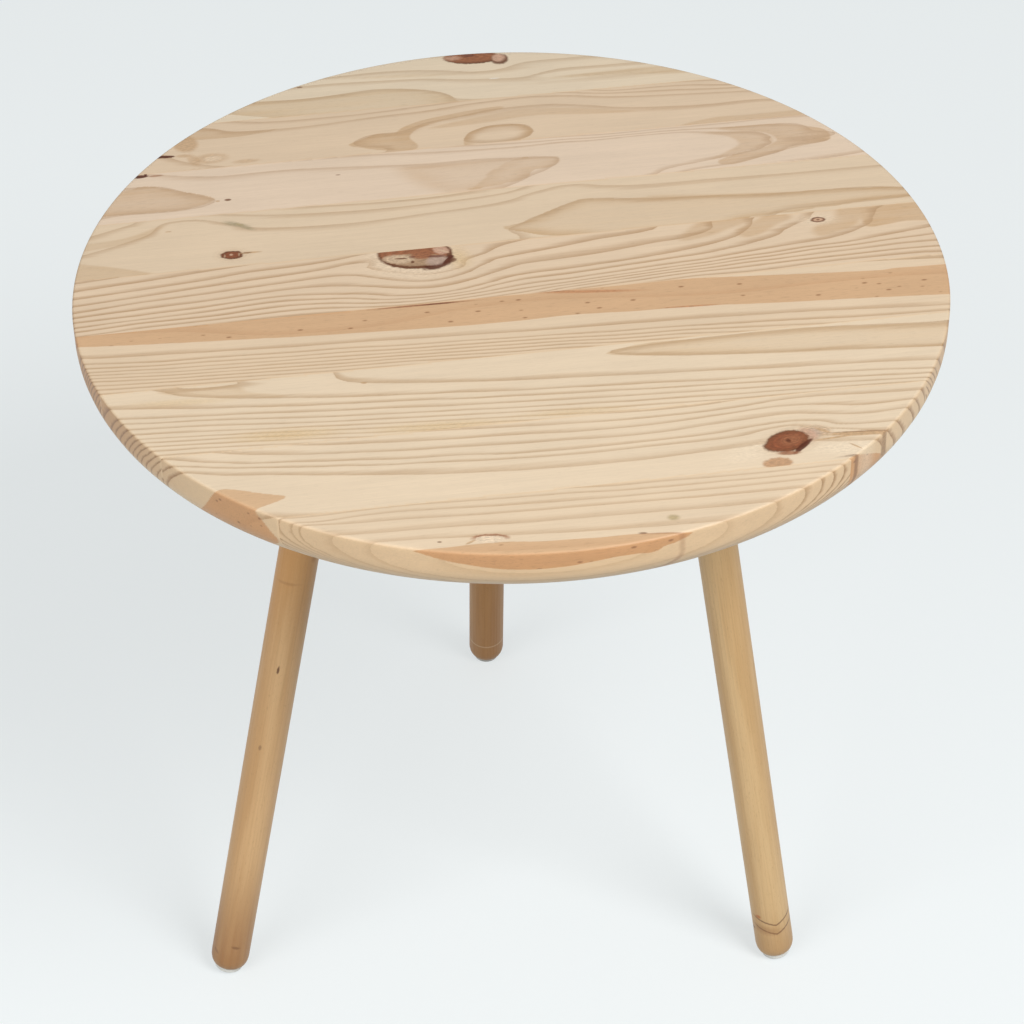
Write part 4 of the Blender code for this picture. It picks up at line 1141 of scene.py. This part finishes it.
def beech_material(name, bearing, splay):
    """Pale close-grained dowel with faint flecks, a worn brown foot, its few marks and painted shade."""
    graph = Graph(f"beech_{name}")
    place = leg_place(graph, math.radians(bearing), math.radians(splay))
    fibre = graph.grain(place, (900, 900, 16), 3, 0.6)
    cloud = graph.grain(place, (90, 90, 5), 2, 0.5)
    fleck = graph.grain(place, (1500, 1500, 260), 1, 0.5)
    rough = graph.noise(place, 500, 3)
    outward, aside, height = graph.parts(place)
    angle = graph.math("ARCTAN2", aside, outward)
    tone, worn_height, worn_strength = LEG_TONES_SHADE_AND_WEAR[name]
    colour = graph.mix(graph.vary(cloud), BEECH_DARK, BEECH_PALE)
    colour = graph.mix(graph.span(fibre, *FIBRES), colour, BEECH_FIBRE)
    colour = graph.mix(graph.span(fleck, *FLECKS), colour, BEECH_FLECK)
    # The leg's tone; on the rear leg it is painted shade, darker and browner.
    colour = graph.mix(1.0, colour, rgb(*(255 * share for share in tone)), "MULTIPLY")
    worn = graph.span(height, 0.0, worn_height, worn_strength, 0.0)
    colour = graph.mix(graph.times(worn, graph.vary(cloud, 0.5, 1.0)), colour, LEG_PAINTS["foot"])
    if name == "right":
        colour = paint_chevrons(graph, colour, angle, height, rough)
    if name == "rear":
        cover = graph.span(graph.gap(height, REAR_LINE_HEIGHT), *REAR_LINE)
        colour = graph.mix(cover, colour, LEG_PAINTS["pale"])
    colour = paint_leg_marks(graph, colour, LEG_MARKS[name], angle, height, rough)
    return graph.finish(colour, graph.vary(fibre, *BEECH_ROUGHNESS), fibre, *BEECH_BUMP)


# Zinc: its shade in the brushing, its yellow cast, and how much rougher it is in places
BRUSHED_SHADE = 0.86
ZINC_CAST = rgb(196, 184, 150)
ROUGHER = 0.12


def metal_material(name, colour, roughness, fineness):
    """Zinc plating: fine brushing or spangle, and a slight yellow cast in places."""
    graph = Graph(name)
    place = graph.place()
    grain = graph.grain(place, (fineness, fineness, fineness), 3, 0.6)
    cloud = graph.noise(place, 90, 2)
    darker = (*(BRUSHED_SHADE * value for value in colour[:3]), 1.0)
    shade = graph.mix(graph.vary(grain), darker, colour)
    shade = graph.mix(graph.span(cloud, 0.45, 0.7, 0.0, 0.25), shade, ZINC_CAST)
    graph.shader.inputs["Metallic"].default_value = 1.0
    rough = graph.vary(grain, roughness, roughness + ROUGHER)
    return graph.finish(shade, rough, grain, 0.08, 0.00005)


def nylon_material():
    """Moulded white plastic with fine scuffs, and painted shade darkening it towards the floor."""
    graph = Graph("glide_nylon")
    place = graph.place()
    scuff = graph.noise(place, 900, 3, 0.6)
    height = graph.parts(place)[2]
    scuffed = graph.span(scuff, 0.35, 0.7, 0.0, 0.5)
    colour = graph.mix(scuffed, rgb(236, 236, 230), rgb(214, 212, 202))
    # Painted contact shadow: the glide darkens over its lowest 3 mm, towards the floor.
    colour = graph.mix(graph.span(height, 0.0, 0.003, 0.7, 0.0), colour, rgb(120, 112, 102))
    return graph.finish(colour, graph.vary(scuff, 0.38, 0.55), scuff, 0.1, 0.00005)


def dress_nodes():
    """Gives the solids that stay their materials, by the start of their names."""
    zinc = metal_material("zinc_fastener", rgb(202, 198, 186), 0.24, 900)
    steel = metal_material("zinc_sheet", rgb(198, 198, 194), 0.30, 300)
    looks = {f"leg_{name}": beech_material(name, bearing, splay) for name, bearing, splay in LEGS}
    looks |= {"plate_screw": zinc, "nut": zinc, "hanger": zinc, "glide_nail": zinc}
    looks |= {"plate": steel, "glide": nylon_material()}
    for name, node in NODES.items():
        found = [material for start, material in looks.items() if name.startswith(start)]
        if found:
            node.data.materials.clear()
            node.data.materials.append(found[0])


# The floor's colour to the camera, the darker one that it throws back onto the table, how much
# of what the camera sees is its own glow, and its half size
FLOOR_COLOUR = rgb(244, 249, 250)
FLOOR_BOUNCE = rgb(168, 171, 171)
FLOOR_GLOW = 0.61
FLOOR_REACH = 30.0


def floor_material():
    """A pale floor, seen part lit and part self-lit so that its shadows are soft."""
    graph = Graph("floor")
    rays = graph.add("ShaderNodeLightPath", output=None)
    camera = rays["Is Camera Ray"]
    for kind in ("Is Glossy Ray", "Is Transmission Ray"):
        camera = graph.math("MAXIMUM", camera, rays[kind])
    graph.put(graph.shader.inputs["Base Color"], graph.mix(camera, FLOOR_BOUNCE, FLOOR_COLOUR))
    graph.shader.inputs["Roughness"].default_value = 0.7
    glow = graph.add("ShaderNodeEmission", {"Color": FLOOR_COLOUR})
    parts = (graph.times(camera, FLOOR_GLOW), graph.shader.outputs[0], glow)
    blend = graph.add("ShaderNodeMixShader", parts)
    graph.put(graph.tree.nodes["Material Output"].inputs[0], blend)
    return graph.material


def make_stage():
    mesh = bpy.data.meshes.new("floor")
    corners = [(x * FLOOR_REACH, y * FLOOR_REACH, 0) for x, y in ((-1, -1), (1, -1), (1, 1), (-1, 1))]
    mesh.from_pydata(corners, [], [(0, 1, 2, 3)])
    mesh.materials.append(floor_material())
    floor = bpy.data.objects.new("floor", mesh)
    bpy.context.scene.collection.objects.link(floor)


def make_lamp(name, place, size, power):
    data = bpy.data.lights.new(name, "AREA")
    data.shape = "DISK"
    data.size = size
    data.energy = power
    lamp = bpy.data.objects.new(name, data)
    bpy.context.scene.collection.objects.link(lamp)
    lamp.location = place
    aim = Vector(LAMP_TARGET) - Vector(place)
    lamp.rotation_euler = aim.to_track_quat("-Z", "Y").to_euler()


def make_camera():
    data = bpy.data.cameras.new("camera")
    data.lens = CAMERA_LENS
    data.sensor_width = SENSOR_WIDTH
    camera = bpy.data.objects.new("camera", data)
    bpy.context.scene.collection.objects.link(camera)
    camera.matrix_world = (
        Matrix.Translation(CAMERA_PLACE)
        @ Matrix.Rotation(CAMERA_BEARING, 4, "Z")
        @ Matrix.Rotation(math.pi / 2 - CAMERA_DIP, 4, "X")
        @ Matrix.Rotation(CAMERA_ROLL, 4, "Z")
    )
    bpy.context.scene.camera = camera


def make_world():
    world = bpy.data.worlds.new("studio")
    world.use_nodes = True
    background = world.node_tree.nodes["Background"]
    background.inputs["Color"].default_value = (1, 1, 1, 1)
    background.inputs["Strength"].default_value = WORLD_STRENGTH
    bpy.context.scene.world = world


make_camera()
make_world()
make_stage()
for lamp in LAMPS:
    make_lamp(*lamp)
make_staves()
dress_nodes()
bpy.context.scene.view_settings.view_transform = "Standard"
